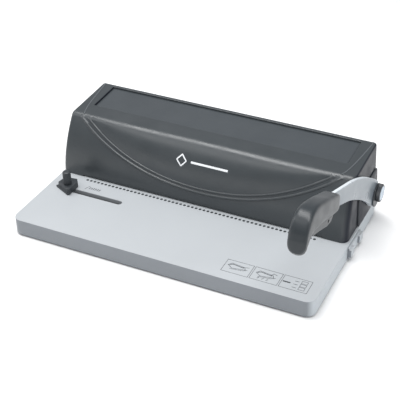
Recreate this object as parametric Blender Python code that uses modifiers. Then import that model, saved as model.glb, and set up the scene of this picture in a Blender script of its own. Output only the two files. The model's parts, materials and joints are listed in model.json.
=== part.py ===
"""Manual coil punch and binding machine, A4, 59 round holes at 5 mm pitch.

Units are metres.  Positions are written in the machine frame: X runs along the machine with 0 at
its middle, Y runs back from the tray's front edge, and Z runs up from the tray's underside.  The
empty "machine" moves that frame so that the world origin is at the middle of the model's base.
Each moving group hangs from an empty that sits on its joint's axis.
"""
import math

import bmesh
import bpy
from mathutils import Matrix, Vector

# General
FIT = 0.0003                      # gap between touching pieces
SMOOTH_ANGLE = math.radians(32)   # faces that meet at less than this are shaded as one
HOLE_SIDES = 6                    # sides of a punch hole and of a punch pin

# Tray
TRAY_WIDTH = 0.3653
TRAY_DEPTH = 0.2140
TRAY_TOP = 0.0201
TRAY_WALL = 0.0025
TRAY_CORNER = 0.0110
PLATE_LOW = 0.0014
PLATE_THICK = 0.0012
FOOT_DROP = 0.0015                # how far the feet reach below the tray
FOOT_RADIUS = 0.0090
FOOT_PLACES = [(x, y) for x in (-0.150, 0.150) for y in (0.030, 0.184)]
BOSS_PLACES = [(x, y) for x in (-0.168, 0.0, 0.168) for y in (0.014, 0.202)]
SCREW_HOLE = 0.0018

# Housing
HOUSE_HALF = 0.1806               # half length at the tray
HOUSE_DRAFT = 0.032               # inward lean of the two ends
HOUSE_FRONT = 0.1080
HOUSE_CURVE = 4.9                 # y = HOUSE_FRONT + HOUSE_CURVE * (z - TRAY_TOP)^2
HOUSE_BROW = 0.0912               # height of the front face's upper edge
HOUSE_TOP_BACK = (0.2080, 0.0948)
HOUSE_REAR = 0.2115
HOUSE_WALL = 0.0023
HOUSE_CORNER = 0.0085
THROAT_HALF = 0.1535
THROAT_HEIGHT = 0.0022
PANEL_HALF = 0.1612
PANEL_FRONT = 0.1565
PANEL_BACK = 0.2030
PANEL_DROP = 0.0020               # how far the top panel lies below the housing's top
SIDE_COVER_FRONT = 0.1440
SIDE_COVER_FACE = 0.18255         # its outer face at the tray, flush with the tray's side
SIDE_COVER_DRAFT = 0.0450         # its outer face leans in more than the housing's end
SIDE_COVER_TOP = 0.0620

# Punch
HOLE_COUNT = 59
HOLE_PITCH = 0.0050
PUNCH_Y = 0.1190
HOLE_RADIUS = 0.0023
PIN_RADIUS = 0.0019
DIE_LOW = 0.0170
GUIDE_LOW = TRAY_TOP + 0.0030
GUIDE_HIGH = 0.0290
STRIP_LOW = 0.0360
BAR_LOW = 0.0400
BAR_HIGH = 0.0500
BAR_FRONT = 0.1160
BAR_BACK = 0.1270
POST_X = 0.1534
POST_Y = 0.1220
POST_RADIUS = 0.0025
BEARING_X = 0.1605                # middle of a bearing plate
BEARING_THICK = 0.0030
CHASSIS_HIGH = 0.0228
CHASSIS_SCREWS = [(x, y) for x in (-0.1672, 0.1672) for y in (0.158, 0.192)]

# Lever and crank
PIVOT_Y = 0.1870
PIVOT_Z = 0.0430
SHAFT_RADIUS = 0.0060
SHAFT_TIP_RADIUS = 0.0050
CRANK_RADIUS = 0.0150             # from the shaft's axis to the roller's axis
CRANK_LIFT = math.radians(12)     # the rollers start this far above the horizontal
ROLLER_RADIUS = 0.0035
CRANK_X = 0.1440
BRACKET_X = 0.1375
ARM_LOW_X = 0.1830
ARM_THICK = 0.0046
TANG_HEADING = math.radians(158)  # the arm's direction where it enters the grip
TANG_LENGTH = 0.0340
TANG_HALF = 0.0065
CLAMP_RADIUS = 0.0140
CLAMP_CENTRE = (PIVOT_Y - 0.0010, PIVOT_Z - 0.0032)
GRIP_HALF_WIDTH = 0.0099
GRIP_X = 0.1850
WEB_HALF = 0.0046                 # half thickness of the web in the grip's inner bend
KNOB_RADIUS = 0.0105
KNOB_LOW_X = 0.1895
KNOB_HIGH_X = 0.1945

# Chip drawer
DRAWER_LEFT = -0.1500
DRAWER_FRONT = 0.1100
DRAWER_BACK = 0.1435
DRAWER_LOW = 0.0030
DRAWER_HIGH = 0.0140
DRAWER_WALL = 0.0012
DRAWER_CORNER = 0.0022

# Edge guide
SLOT_LEFT = -0.1625
SLOT_RIGHT = -0.0835
SLOT_HALF = 0.0030
SLOT_LIP_LOW = 0.0150
GUIDE_X = -0.1558
GUIDE_Y = 0.0770
GUIDE_BLOCK_TOP = 0.0280
STUD_RADIUS = 0.0026
GUIDE_KNOB_RADIUS = 0.0048
GUIDE_KNOB_TOP = 0.0450

# The model reaches from the grip's front to the tray's rear, and from the left end to the grip
MODEL_X = (-TRAY_WIDTH / 2, GRIP_X + GRIP_HALF_WIDTH)
MODEL_Y = (-0.0666, TRAY_DEPTH)
ORIGIN_SHIFT = (-sum(MODEL_X) / 2, -sum(MODEL_Y) / 2, FOOT_DROP)

MATERIALS = {                      # colour, roughness, metallic
    "tray_grey": ((0.60, 0.64, 0.67), 0.45, 0.0),
    "housing_charcoal": ((0.060, 0.073, 0.080), 0.42, 0.0),
    "panel_charcoal": ((0.090, 0.105, 0.113), 0.50, 0.0),
    "grip_rubber": ((0.040, 0.042, 0.044), 0.48, 0.0),
    "guide_black": ((0.030, 0.033, 0.036), 0.50, 0.0),
    "arm_silver": ((0.50, 0.54, 0.57), 0.35, 0.4),
    "knob_black": ((0.025, 0.028, 0.030), 0.45, 0.0),
    "knob_silver": ((0.62, 0.65, 0.68), 0.25, 0.8),
    "drawer_grey": ((0.38, 0.41, 0.43), 0.50, 0.0),
    "punch_steel": ((0.42, 0.43, 0.44), 0.35, 1.0),
    "zinc_steel": ((0.55, 0.56, 0.56), 0.40, 1.0),
    "bronze": ((0.45, 0.30, 0.13), 0.40, 1.0),
    "spring_steel": ((0.50, 0.50, 0.52), 0.30, 1.0),
    "foot_rubber": ((0.02, 0.02, 0.02), 0.80, 0.0),
}

FRAMES = {                         # joint frames: parent frame and position in the machine frame
    "machine": (None, (0.0, 0.0, 0.0)),
    "lever_axis": ("machine", (ARM_LOW_X, PIVOT_Y, PIVOT_Z)),
    "fixing_knob_axis": ("lever_axis", (KNOB_LOW_X, PIVOT_Y, PIVOT_Z)),
    "punch_slide": ("machine", (0.0, PUNCH_Y, STRIP_LOW)),
    "drawer_slide": ("machine", (TRAY_WIDTH / 2, (DRAWER_FRONT + DRAWER_BACK) / 2, DRAWER_LOW)),
    "edge_guide_slide": ("machine", (GUIDE_X, GUIDE_Y, TRAY_TOP)),
    "guide_knob_axis": ("edge_guide_slide", (GUIDE_X, GUIDE_Y, GUIDE_BLOCK_TOP)),
}

PLANE_TURN = {                     # how a flat outline (u, v) is laid in space
    "XY": (0.0, 0.0, 0.0),
    "YZ": (math.pi / 2, 0.0, math.pi / 2),
}
ALONG_X = (0.0, math.pi / 2, 0.0)  # turns a local Z axis to X

collections = {}
frames = {}


# ---------------------------------------------------------------- scene and frames

def clear_scene():
    for obj in list(bpy.data.objects):
        bpy.data.objects.remove(obj, do_unlink=True)


def make_collections():
    for key, name in (("parts", "coil_binding_machine"), ("cutters", "cutters")):
        collections[key] = bpy.data.collections.new(name)
        bpy.context.scene.collection.children.link(collections[key])


def make_frames():
    for name, (parent, place) in FRAMES.items():
        empty = bpy.data.objects.new(name, None)
        empty.empty_display_size = 0.02
        collections["parts"].objects.link(empty)
        frames[name] = empty
        if parent is None:
            empty.location = ORIGIN_SHIFT
        else:
            empty.parent = frames[parent]
            empty.location = Vector(place) - Vector(FRAMES[parent][1])


def hang(obj, frame):
    """Parent an object placed in the machine frame to a joint's frame."""
    obj.parent = frames[frame]
    obj.location = obj.location - Vector(FRAMES[frame][1])


def make_materials():
    for name, (colour, roughness, metallic) in MATERIALS.items():
        material = bpy.data.materials.new(name)
        material.use_nodes = True
        shader = material.node_tree.nodes["Principled BSDF"]
        shader.inputs["Base Color"].default_value = (*colour, 1.0)
        shader.inputs["Roughness"].default_value = roughness
        shader.inputs["Metallic"].default_value = metallic


def smooth(obj):
    """Shade an object's round faces smooth and keep its corners crisp."""
    obj.data.shade_smooth()
    obj.data.set_sharp_from_angle(angle=SMOOTH_ANGLE)
    return obj


def part(obj, material, frame="machine"):
    """Make an object one of the machine's pieces."""
    if obj.name not in collections["parts"].objects:
        collections["parts"].objects.link(obj)
    obj.data.materials.clear()
    obj.data.materials.append(bpy.data.materials[material])
    if not obj.modifiers:
        smooth(obj)
    hang(obj, frame)
    return obj


# ---------------------------------------------------------------- shapes

def mesh_object(name, bm, place=(0.0, 0.0, 0.0), turn=(0.0, 0.0, 0.0)):
    mesh = bpy.data.meshes.new(name)
    bm.to_mesh(mesh)
    bm.free()
    obj = bpy.data.objects.new(name, mesh)
    obj.location = place
    obj.rotation_euler = turn
    return obj


def add_box(bm, low, high):
    """Add a box between two corners to a mesh under construction."""
    low, high = Vector(low), Vector(high)
    spread = Matrix.Diagonal((*(high - low), 1.0))
    return bmesh.ops.create_cube(bm, size=1.0, matrix=Matrix.Translation((low + high) / 2) @ spread)


def add_rod(bm, centre, radius, length, sides, axis="Z"):
    """Add a closed cylinder along an axis to a mesh under construction."""
    turn = {"Z": Matrix.Identity(4), "X": Matrix.Rotation(math.pi / 2, 4, "Y"),
            "Y": Matrix.Rotation(math.pi / 2, 4, "X")}[axis]
    return bmesh.ops.create_cone(bm, cap_ends=True, segments=sides, radius1=radius, radius2=radius,
                                 depth=length, matrix=Matrix.Translation(centre) @ turn)


def block(name, low, high):
    centre = (Vector(low) + Vector(high)) / 2
    bm = bmesh.new()
    add_box(bm, Vector(low) - centre, Vector(high) - centre)
    return mesh_object(name, bm, centre)


def rods(name, centres, radius, length, sides=16, axis="Z"):
    bm = bmesh.new()
    for centre in centres:
        add_rod(bm, centre, radius, length, sides, axis)
    return smooth(mesh_object(name, bm))


def turned(name, profile, place, steps=24, turn=(0.0, 0.0, 0.0), ring=False):
    """Turn (radius, height) points, listed down the outer side, about the local Z axis."""
    bm = bmesh.new()
    points = [bm.verts.new((radius, 0.0, height)) for radius, height in profile]
    for first, second in zip(points, points[1:]):
        bm.edges.new((first, second))
    if ring:
        bm.edges.new((points[-1], points[0]))
    obj = mesh_object(name, bm, place, turn)
    screw = obj.modifiers.new("turn", "SCREW")
    screw.steps = steps
    screw.render_steps = steps
    screw.use_merge_vertices = True
    screw.merge_threshold = 0.00001
    return obj


def plate(name, outlines, thickness, place, plane):
    """Make a flat plate from an outline and the outlines of its holes, as a mesh."""
    curve = bpy.data.curves.new(name, "CURVE")
    curve.dimensions = "2D"
    curve.fill_mode = "BOTH"
    curve.extrude = thickness / 2
    for outline in outlines:
        spline = curve.splines.new("POLY")
        spline.points.add(len(outline) - 1)
        for point, (u, v) in zip(spline.points, outline):
            point.co = (u, v, 0.0, 1.0)
        spline.use_cyclic_u = True
    return curve_to_mesh(name, curve, place, PLANE_TURN[plane])


def curve_to_mesh(name, curve, place, turn=(0.0, 0.0, 0.0)):
    """Turn a curve into a mesh object with its caps welded on."""
    source = bpy.data.objects.new(name + "_curve", curve)
    source.location = place
    source.rotation_euler = turn
    collections["cutters"].objects.link(source)
    depsgraph = bpy.context.evaluated_depsgraph_get()
    mesh = bpy.data.meshes.new_from_object(source.evaluated_get(depsgraph))
    bm = bmesh.new()
    bm.from_mesh(mesh)
    bmesh.ops.remove_doubles(bm, verts=bm.verts, dist=0.000005)
    bmesh.ops.recalc_face_normals(bm, faces=bm.faces)
    obj = mesh_object(name, bm)
    obj.matrix_world = source.matrix_world
    bpy.data.objects.remove(source, do_unlink=True)
    bpy.data.meshes.remove(mesh)
    return obj


def arc(centre, radius, start, end, steps):
    """Points on an arc, with angles in radians."""
    angles = [start + (end - start) * i / steps for i in range(steps + 1)]
    return [(centre[0] + radius * math.cos(a), centre[1] + radius * math.sin(a)) for a in angles]


def circle(centre, radius, sides):
    return arc(centre, radius, 0.0, 2 * math.pi * (1 - 1 / sides), sides - 1)


def round_box(low, high, radius, steps=4):
    """The outline of a rectangle with round corners."""
    quarter = math.pi / 2
    corners = [(high[0], high[1]), (low[0], high[1]), (low[0], low[1]), (high[0], low[1])]
    points = []
    for i, (u, v) in enumerate(corners):
        centre = (u - math.copysign(radius, u - (low[0] + high[0]) / 2),
                  v - math.copysign(radius, v - (low[1] + high[1]) / 2))
        points += arc(centre, radius, i * quarter, (i + 1) * quarter, steps)
    return points


def link_outline(centre_a, radius_a, centre_b, radius_b, steps=8):
    """The outline around two circles and their outer tangents."""
    delta = Vector(centre_b) - Vector(centre_a)
    heading = math.atan2(delta.y, delta.x)
    opening = math.acos((radius_a - radius_b) / delta.length)
    back = arc(centre_a, radius_a, heading + opening, heading + 2 * math.pi - opening, steps * 2)
    front = arc(centre_b, radius_b, heading - opening, heading + opening, steps)
    return back + front


def boolean(obj, other, operation, frame="machine"):
    """Cut another shape from an object, or join it on, and file that shape with the cutters."""
    collections["cutters"].objects.link(other)
    other.hide_render = True
    other.display_type = "WIRE"
    hang(other, frame)
    modifier = obj.modifiers.new(other.name, "BOOLEAN")
    modifier.operation = operation
    modifier.object = other
    return obj


# ---------------------------------------------------------------- tray and its underside

def open_shell(name, low, high, open_side, corner, wall):
    """A box open below (-1) or above (+1), with round upright corners and walls inside its size."""
    bm = bmesh.new()
    add_box(bm, low, high)
    missing = [face for face in bm.faces if face.normal.z * open_side > 0.9]
    bmesh.ops.delete(bm, geom=missing, context="FACES_ONLY")
    upright = [edge for edge in bm.edges
               if abs(edge.verts[0].co.z - edge.verts[1].co.z) > abs(high[2] - low[2]) / 2]
    bmesh.ops.bevel(bm, geom=upright, offset=corner, segments=4, profile=0.5, affect="EDGES")
    obj = mesh_object(name, bm)
    solidify = obj.modifiers.new("wall", "SOLIDIFY")
    solidify.thickness = wall
    solidify.offset = -1.0
    solidify.use_even_offset = True
    return obj


def slot_outline(grow=0.0):
    """The edge guide's slot, seen from above, grown all round."""
    radius = SLOT_HALF + grow
    left = (SLOT_LEFT + SLOT_HALF, GUIDE_Y)
    right = (SLOT_RIGHT - SLOT_HALF, GUIDE_Y)
    return link_outline(left, radius, right, radius, steps=6)


def base_tray():
    tray = open_shell("base_tray", (-TRAY_WIDTH / 2, 0.0, 0.0),
                      (TRAY_WIDTH / 2, TRAY_DEPTH, TRAY_TOP), -1, TRAY_CORNER, TRAY_WALL)
    top_inside = TRAY_TOP - TRAY_WALL
    boss_low = PLATE_LOW + PLATE_THICK + FIT
    boss_high = top_inside + TRAY_WALL / 4
    middle = (boss_low + boss_high) / 2
    bosses = rods("tray_bosses", [(x, y, middle) for x, y in BOSS_PLACES], 0.0042,
                  boss_high - boss_low, 12)
    boolean(tray, bosses, "UNION")
    lip_high = top_inside + TRAY_WALL / 2
    lip = plate("slot_lip", [slot_outline(0.0022)], lip_high - SLOT_LIP_LOW,
                (0.0, 0.0, (lip_high + SLOT_LIP_LOW) / 2), "XY")
    boolean(tray, lip, "UNION")
    slot = plate("slot_cutter", [slot_outline()], 0.02, (0.0, 0.0, TRAY_TOP - 0.005), "XY")
    boolean(tray, slot, "DIFFERENCE")
    die_hole = block("die_opening_cutter", (-0.1565, 0.1115, 0.010), (0.1565, 0.1403, 0.030))
    boolean(tray, die_hole, "DIFFERENCE")
    drawer_hole = block("drawer_opening_cutter", (TRAY_WIDTH / 2 - 0.006, DRAWER_FRONT - 0.0006, 0.0024),
                        (TRAY_WIDTH / 2 + 0.006, DRAWER_BACK + 0.0006, DRAWER_HIGH + 0.0006))
    boolean(tray, drawer_hole, "DIFFERENCE")
    pilots = rods("boss_pilot_cutters", [(x, y, 0.0065) for x, y in BOSS_PLACES], SCREW_HOLE, 0.012, 8)
    boolean(tray, pilots, "DIFFERENCE")
    holes = rods("chassis_hole_cutters", [(x, y, TRAY_TOP) for x, y in CHASSIS_SCREWS],
                 SCREW_HOLE, 0.012, 8)
    boolean(tray, holes, "DIFFERENCE")
    part(tray, "tray_grey")


def base_plate():
    inset = TRAY_WALL + FIT
    low = (-TRAY_WIDTH / 2 + inset, inset)
    high = (TRAY_WIDTH / 2 - inset, TRAY_DEPTH - inset)
    holes = [circle(place, SCREW_HOLE, 8) for place in BOSS_PLACES]
    outline = round_box(low, high, TRAY_CORNER - inset)
    part(plate("base_plate", [outline] + holes, PLATE_THICK,
               (0.0, 0.0, PLATE_LOW + PLATE_THICK / 2), "XY"), "zinc_steel")


def screw_profile(head_radius, head, shank_radius, shank):
    """A screw that points up from its head's outer face at height 0."""
    return [(0.0, head + shank), (shank_radius, head + shank), (shank_radius, head),
            (head_radius, head), (head_radius, head * 0.4), (head_radius * 0.7, 0.0), (0.0, 0.0)]


def base_screws():
    for number, (x, y) in enumerate(BOSS_PLACES, start=1):
        profile = screw_profile(0.0031, 0.0010, 0.0013, 0.0095)
        screw = turned(f"base_screw_{number}", profile, (x, y, 0.0001), steps=8)
        part(screw, "zinc_steel")


def feet():
    top = PLATE_LOW - FIT
    profile = [(0.0, top), (FOOT_RADIUS, top), (FOOT_RADIUS, -FOOT_DROP + 0.0008),
               (FOOT_RADIUS - 0.0008, -FOOT_DROP), (0.0, -FOOT_DROP)]
    for number, (x, y) in enumerate(FOOT_PLACES, start=1):
        part(turned(f"foot_{number}", profile, (x, y, 0.0), steps=20), "foot_rubber")


# ---------------------------------------------------------------- housing

def front_y(z):
    """The housing's front face leans back more the higher it goes."""
    return HOUSE_FRONT + HOUSE_CURVE * (z - TRAY_TOP) ** 2


def top_z(y):
    """The housing's top rises gently to the rear."""
    front = front_y(HOUSE_BROW)
    back, height = HOUSE_TOP_BACK
    return HOUSE_BROW + (height - HOUSE_BROW) * (y - front) / (back - front)


def top_slope():
    back, height = HOUSE_TOP_BACK
    return math.atan2(height - HOUSE_BROW, back - front_y(HOUSE_BROW))


def end_outline():
    """The housing's end, as (y, z) points from the bottom of its front round to its rear."""
    low = TRAY_TOP + FIT
    rows = 8
    heights = [low + (HOUSE_BROW - low) * i / rows for i in range(rows + 1)]
    return [(front_y(z), z) for z in heights] + [HOUSE_TOP_BACK, (HOUSE_REAR, low)]


def rear_y(z):
    """The rear wall leans from its foot to the top's back edge."""
    low = TRAY_TOP + FIT
    back, height = HOUSE_TOP_BACK
    return HOUSE_REAR + (back - HOUSE_REAR) * (z - low) / (height - low)


def house_half(z):
    return HOUSE_HALF - HOUSE_DRAFT * (z - TRAY_TOP)


def housing_shell(name):
    """The outer skin of the housing: front, top, rear and two ends, open below."""
    outline = end_outline()
    bm = bmesh.new()
    weight = bm.edges.layers.float.new("bevel_weight_edge")
    sides = [[bm.verts.new((side * house_half(z), y, z)) for y, z in outline] for side in (-1, 1)]
    left, right = sides
    for i in range(len(outline) - 1):
        bm.faces.new((left[i], left[i + 1], right[i + 1], right[i]))
    bm.faces.new(left[::-1])
    bm.faces.new(right)
    bmesh.ops.recalc_face_normals(bm, faces=bm.faces)
    brow = len(outline) - 3
    for points, front_weight in ((left, 0.35), (right, 1.0)):
        for i in range(len(outline) - 1):
            bm.edges.get((points[i], points[i + 1]))[weight] = front_weight if i < brow else 0.35
    for i in (brow, brow + 1):
        bm.edges.get((left[i], right[i]))[weight] = 0.35
    obj = mesh_object(name, bm)
    bevel = obj.modifiers.new("round_corners", "BEVEL")
    bevel.width = HOUSE_CORNER
    bevel.segments = 3
    bevel.limit_method = "WEIGHT"
    solidify = obj.modifiers.new("wall", "SOLIDIFY")
    solidify.thickness = HOUSE_WALL
    solidify.offset = -1.0
    solidify.use_even_offset = True
    return obj


def housing_cover():
    cover = housing_shell("housing_cover")
    throat = block("throat_cutter", (-THROAT_HALF, 0.100, 0.010),
                   (THROAT_HALF, 0.115, TRAY_TOP + THROAT_HEIGHT))
    boolean(cover, throat, "DIFFERENCE")
    boolean(cover, panel_block("top_opening_cutter", 0.0, -0.010, 0.010), "DIFFERENCE")
    shaft_hole = rods("shaft_hole_cutter", [(HOUSE_HALF, PIVOT_Y, PIVOT_Z)], 0.0080, 0.012, 16, "X")
    boolean(cover, shaft_hole, "DIFFERENCE")
    screw_holes = rods("rear_hole_cutters", [(x, HOUSE_REAR, 0.0300) for x in (-0.120, 0.120)],
                       SCREW_HOLE, 0.012, 8, "Y")
    boolean(cover, screw_holes, "DIFFERENCE")
    part(cover, "housing_charcoal")


def panel_block(name, grow, low, high):
    """A block over the top panel's outline, tilted as the housing's top is."""
    middle = (PANEL_FRONT + PANEL_BACK) / 2
    half_depth = (PANEL_BACK - PANEL_FRONT) / 2 + grow
    obj = block(name, (-PANEL_HALF - grow, -half_depth, low), (PANEL_HALF + grow, half_depth, high))
    turn = Matrix.Rotation(top_slope(), 3, "X")
    place = Vector((0.0, middle, top_z(middle) - PANEL_DROP))
    obj.location = place + turn @ obj.location
    obj.rotation_euler = (top_slope(), 0.0, 0.0)
    return obj


def top_panel():
    """The recessed panel, with a flange that hides under the housing's rim."""
    panel = panel_block("top_panel", -FIT, -0.0014, 0.0)
    flange_top = PANEL_DROP - HOUSE_WALL - FIT
    flange = panel_block("panel_flange", 0.0026, flange_top - 0.0014, flange_top)
    boolean(panel, flange, "UNION")
    part(panel, "panel_charcoal")


def right_side_cover():
    """The pad on the lever's side: flush with the tray's side below, thin at its top."""
    low = TRAY_TOP + FIT
    outline = [(SIDE_COVER_FRONT, low), (SIDE_COVER_FRONT, SIDE_COVER_TOP - 0.0080),
               (SIDE_COVER_FRONT + 0.0080, SIDE_COVER_TOP), (rear_y(SIDE_COVER_TOP), SIDE_COVER_TOP),
               (HOUSE_REAR, low)]
    hole = circle((PIVOT_Y, PIVOT_Z), SHAFT_RADIUS + 0.0006, 16)
    cover = plate("right_side_cover", [outline, hole], 0.0020, (0.0, 0.0, 0.0), "YZ")
    for vertex in cover.data.vertices:
        rise = vertex.co.y - TRAY_TOP
        outer = vertex.co.z > 0.0
        inner_x = house_half(vertex.co.y) + FIT
        vertex.co.z = SIDE_COVER_FACE - SIDE_COVER_DRAFT * rise if outer else inner_x
    part(cover, "housing_charcoal")


def cover_screws():
    """Two screws hold the cover's rear wall to the chassis."""
    profile = screw_profile(0.0030, 0.0014, 0.0013, 0.0070)
    rear = rear_y(0.0300)
    for name, x in (("cover_screw_left", -0.120), ("cover_screw_right", 0.120)):
        screw = turned(name, profile, (x, rear + FIT + 0.0014, 0.0300), steps=8,
                       turn=(math.pi / 2, 0.0, 0.0))
        part(screw, "zinc_steel")


# ---------------------------------------------------------------- punch

def hole_places():
    first = -HOLE_PITCH * (HOLE_COUNT - 1) / 2
    return [(first + HOLE_PITCH * i, PUNCH_Y) for i in range(HOLE_COUNT)]


def hole_outlines():
    return [circle(place, HOLE_RADIUS, HOLE_SIDES) for place in hole_places()]


def die_plate():
    outline = round_box((-0.1562, 0.1118), (0.1562, 0.1400), 0.0005, 1)
    part(plate("die_plate", [outline] + hole_outlines(), TRAY_TOP - DIE_LOW,
               (0.0, 0.0, (TRAY_TOP + DIE_LOW) / 2), "XY"), "punch_steel")


def guide_plate():
    half = BEARING_X - BEARING_THICK / 2 - FIT
    outline = round_box((-half, 0.1120), (half, 0.1260), 0.0005, 1)
    guide = plate("punch_guide_plate", [outline] + hole_outlines(), GUIDE_HIGH - GUIDE_LOW,
                  (0.0, 0.0, (GUIDE_HIGH + GUIDE_LOW) / 2), "XY")
    part(guide, "punch_steel")


def paper_stop():
    part(block("paper_stop", (-0.150, 0.1236, TRAY_TOP + FIT), (0.150, 0.1260, CHASSIS_HIGH)),
         "zinc_steel")


def chassis_plate():
    outline = round_box((-0.1720, 0.1270), (0.1720, 0.2040), 0.0020, 1)
    holes = [circle(place, SCREW_HOLE, 8) for place in CHASSIS_SCREWS]
    low = TRAY_TOP + FIT
    part(plate("chassis_plate", [outline] + holes, CHASSIS_HIGH - low,
               (0.0, 0.0, (CHASSIS_HIGH + low) / 2), "XY"), "zinc_steel")


def bearing_plates():
    low = CHASSIS_HIGH + FIT
    outline = [(0.1140, low), (0.2030, low), (0.2030, 0.0500), (0.1960, 0.0620), (0.1500, 0.0620),
               (0.1240, 0.0480), (0.1140, 0.0340)]
    bore = circle((PIVOT_Y, PIVOT_Z), 0.0083, 20)
    for name, side in (("left_bearing_plate", -1), ("right_bearing_plate", 1)):
        bearing = plate(name, [outline, bore], BEARING_THICK, (side * BEARING_X, 0.0, 0.0), "YZ")
        edges = sorted((side * (BEARING_X + 0.0005), side * 0.1715))
        flange = block(name + "_flange", (edges[0], 0.1500, low), (edges[1], 0.2000, low + 0.0022))
        boolean(bearing, flange, "UNION")
        places = [(x, y, low) for x, y in CHASSIS_SCREWS if x * side > 0]
        boolean(bearing, rods(name + "_holes", places, SCREW_HOLE, 0.010, 8), "DIFFERENCE")
        part(bearing, "zinc_steel")


def chassis_screws():
    top = CHASSIS_HIGH + FIT + 0.0022 + FIT
    profile = screw_profile(0.0031, 0.0018, 0.0014, 0.0120)
    for number, (x, y) in enumerate(CHASSIS_SCREWS, start=1):
        screw = turned(f"chassis_screw_{number}", profile, (x, y, top + 0.0018), steps=8,
                       turn=(math.pi, 0.0, 0.0))
        part(screw, "zinc_steel")


def bushes():
    profile = [(0.0080, 0.0030), (0.0080, -0.0030), (0.0063, -0.0030), (0.0063, 0.0030)]
    for name, side in (("left_bush", -1), ("right_bush", 1)):
        part(turned(name, profile, (side * BEARING_X, PIVOT_Y, PIVOT_Z), 24, ALONG_X, ring=True),
             "bronze")


def guide_posts():
    """Two posts that keep the punch carriage upright."""
    low = GUIDE_HIGH + FIT
    high = 0.0560
    profile = [(0.0, high), (POST_RADIUS - 0.0005, high), (POST_RADIUS, high - 0.0005),
               (POST_RADIUS, low), (0.0, low)]
    for name, side in (("left_guide_post", -1), ("right_guide_post", 1)):
        part(turned(name, profile, (side * POST_X, POST_Y, 0.0), 12), "punch_steel")


def return_springs():
    """Compression springs on the posts, between the guide plate and the punch bar."""
    wire = 0.0005
    low = GUIDE_HIGH + wire + FIT
    high = BAR_LOW - wire - FIT
    turns = 4
    steps = 10
    for name, side in (("left_return_spring", -1), ("right_return_spring", 1)):
        curve = bpy.data.curves.new(name, "CURVE")
        curve.dimensions = "3D"
        curve.bevel_depth = wire
        curve.bevel_resolution = 1
        curve.use_fill_caps = True
        spline = curve.splines.new("POLY")
        spline.points.add(turns * steps)
        for i, point in enumerate(spline.points):
            angle = 2 * math.pi * i / steps
            rise = low + (high - low) * i / (turns * steps)
            point.co = (0.0043 * math.cos(angle), 0.0043 * math.sin(angle), rise, 1.0)
        part(curve_to_mesh(name, curve, (side * POST_X, POST_Y, 0.0)), "spring_steel")


def punch_carriage():
    """The pressure bar with its two slotted brackets."""
    carriage = block("punch_carriage", (-0.1575, BAR_FRONT, BAR_LOW), (0.1575, BAR_BACK, BAR_HIGH))
    slot_z = PIVOT_Z + CRANK_RADIUS * math.sin(CRANK_LIFT)
    half_slot = ROLLER_RADIUS + FIT
    rear = PIVOT_Y - SHAFT_RADIUS - 0.0030
    slot_front = PIVOT_Y - CRANK_RADIUS - ROLLER_RADIUS - 0.0012
    bracket = [(0.1180, 0.0420), (0.1400, 0.0370), (rear, 0.0370), (rear, slot_z - half_slot),
               (slot_front, slot_z - half_slot), (slot_front, slot_z + half_slot),
               (rear, slot_z + half_slot), (rear, 0.0550), (0.1400, 0.0550), (0.1250, 0.0480),
               (0.1180, 0.0480)]
    for name, side in (("left_bracket", -1), ("right_bracket", 1)):
        boolean(carriage, plate(name, [bracket], 0.0050, (side * BRACKET_X, 0.0, 0.0), "YZ"), "UNION",
                "punch_slide")
    middle = (BAR_LOW + BAR_HIGH) / 2
    holes = rods("post_hole_cutters", [(side * POST_X, POST_Y, middle) for side in (-1, 1)],
                 POST_RADIUS + 0.0004, 0.02, 12)
    boolean(carriage, holes, "DIFFERENCE", "punch_slide")
    part(carriage, "zinc_steel", "punch_slide")


def punch_pins():
    """A strip under the pressure bar that carries one pin for each hole."""
    half = 0.1476
    strip = block("punch_pins", (-half, 0.1165, STRIP_LOW), (half, 0.1215, BAR_LOW - FIT))
    tip = GUIDE_LOW + 0.0005
    root = STRIP_LOW + 0.0006
    pins = rods("pin_shanks", [(x, y, (tip + root) / 2) for x, y in hole_places()],
                PIN_RADIUS, root - tip, HOLE_SIDES)
    boolean(strip, pins, "UNION", "punch_slide")
    part(strip, "punch_steel", "punch_slide")


# ---------------------------------------------------------------- lever

def lever_shaft():
    left = -0.1660
    step = ARM_LOW_X - 0.0002
    tip = KNOB_LOW_X + 0.0025
    profile = [(0.0, tip), (SHAFT_TIP_RADIUS, tip), (SHAFT_TIP_RADIUS, step), (SHAFT_RADIUS, step),
               (SHAFT_RADIUS, left), (0.0, left)]
    part(turned("lever_shaft", profile, (0.0, PIVOT_Y, PIVOT_Z), 24, ALONG_X), "punch_steel",
         "lever_axis")


def cranks():
    """An arm and a roller at each end of the shaft push the carriage's brackets down."""
    pin = (PIVOT_Y - CRANK_RADIUS * math.cos(CRANK_LIFT), PIVOT_Z + CRANK_RADIUS * math.sin(CRANK_LIFT))
    outline = link_outline((PIVOT_Y, PIVOT_Z), 0.0110, pin, 0.0060, steps=6)
    bore = circle((PIVOT_Y, PIVOT_Z), SHAFT_RADIUS + FIT, 20)
    thick = 0.0060
    roller_length = CRANK_X - thick / 2 - FIT - (BRACKET_X - 0.0025) + 0.0008
    roller_x = CRANK_X - thick / 2 - FIT - roller_length / 2
    for label, side in (("left", -1), ("right", 1)):
        crank = plate(f"{label}_crank", [outline, bore], thick, (side * CRANK_X, 0.0, 0.0), "YZ")
        part(crank, "zinc_steel", "lever_axis")
        profile = [(0.0, roller_length / 2), (ROLLER_RADIUS, roller_length / 2),
                   (ROLLER_RADIUS, -roller_length / 2), (0.0, -roller_length / 2)]
        roller = turned(f"{label}_crank_roller", profile, (side * roller_x, *pin), 16, ALONG_X)
        part(roller, "punch_steel", "lever_axis")


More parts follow.
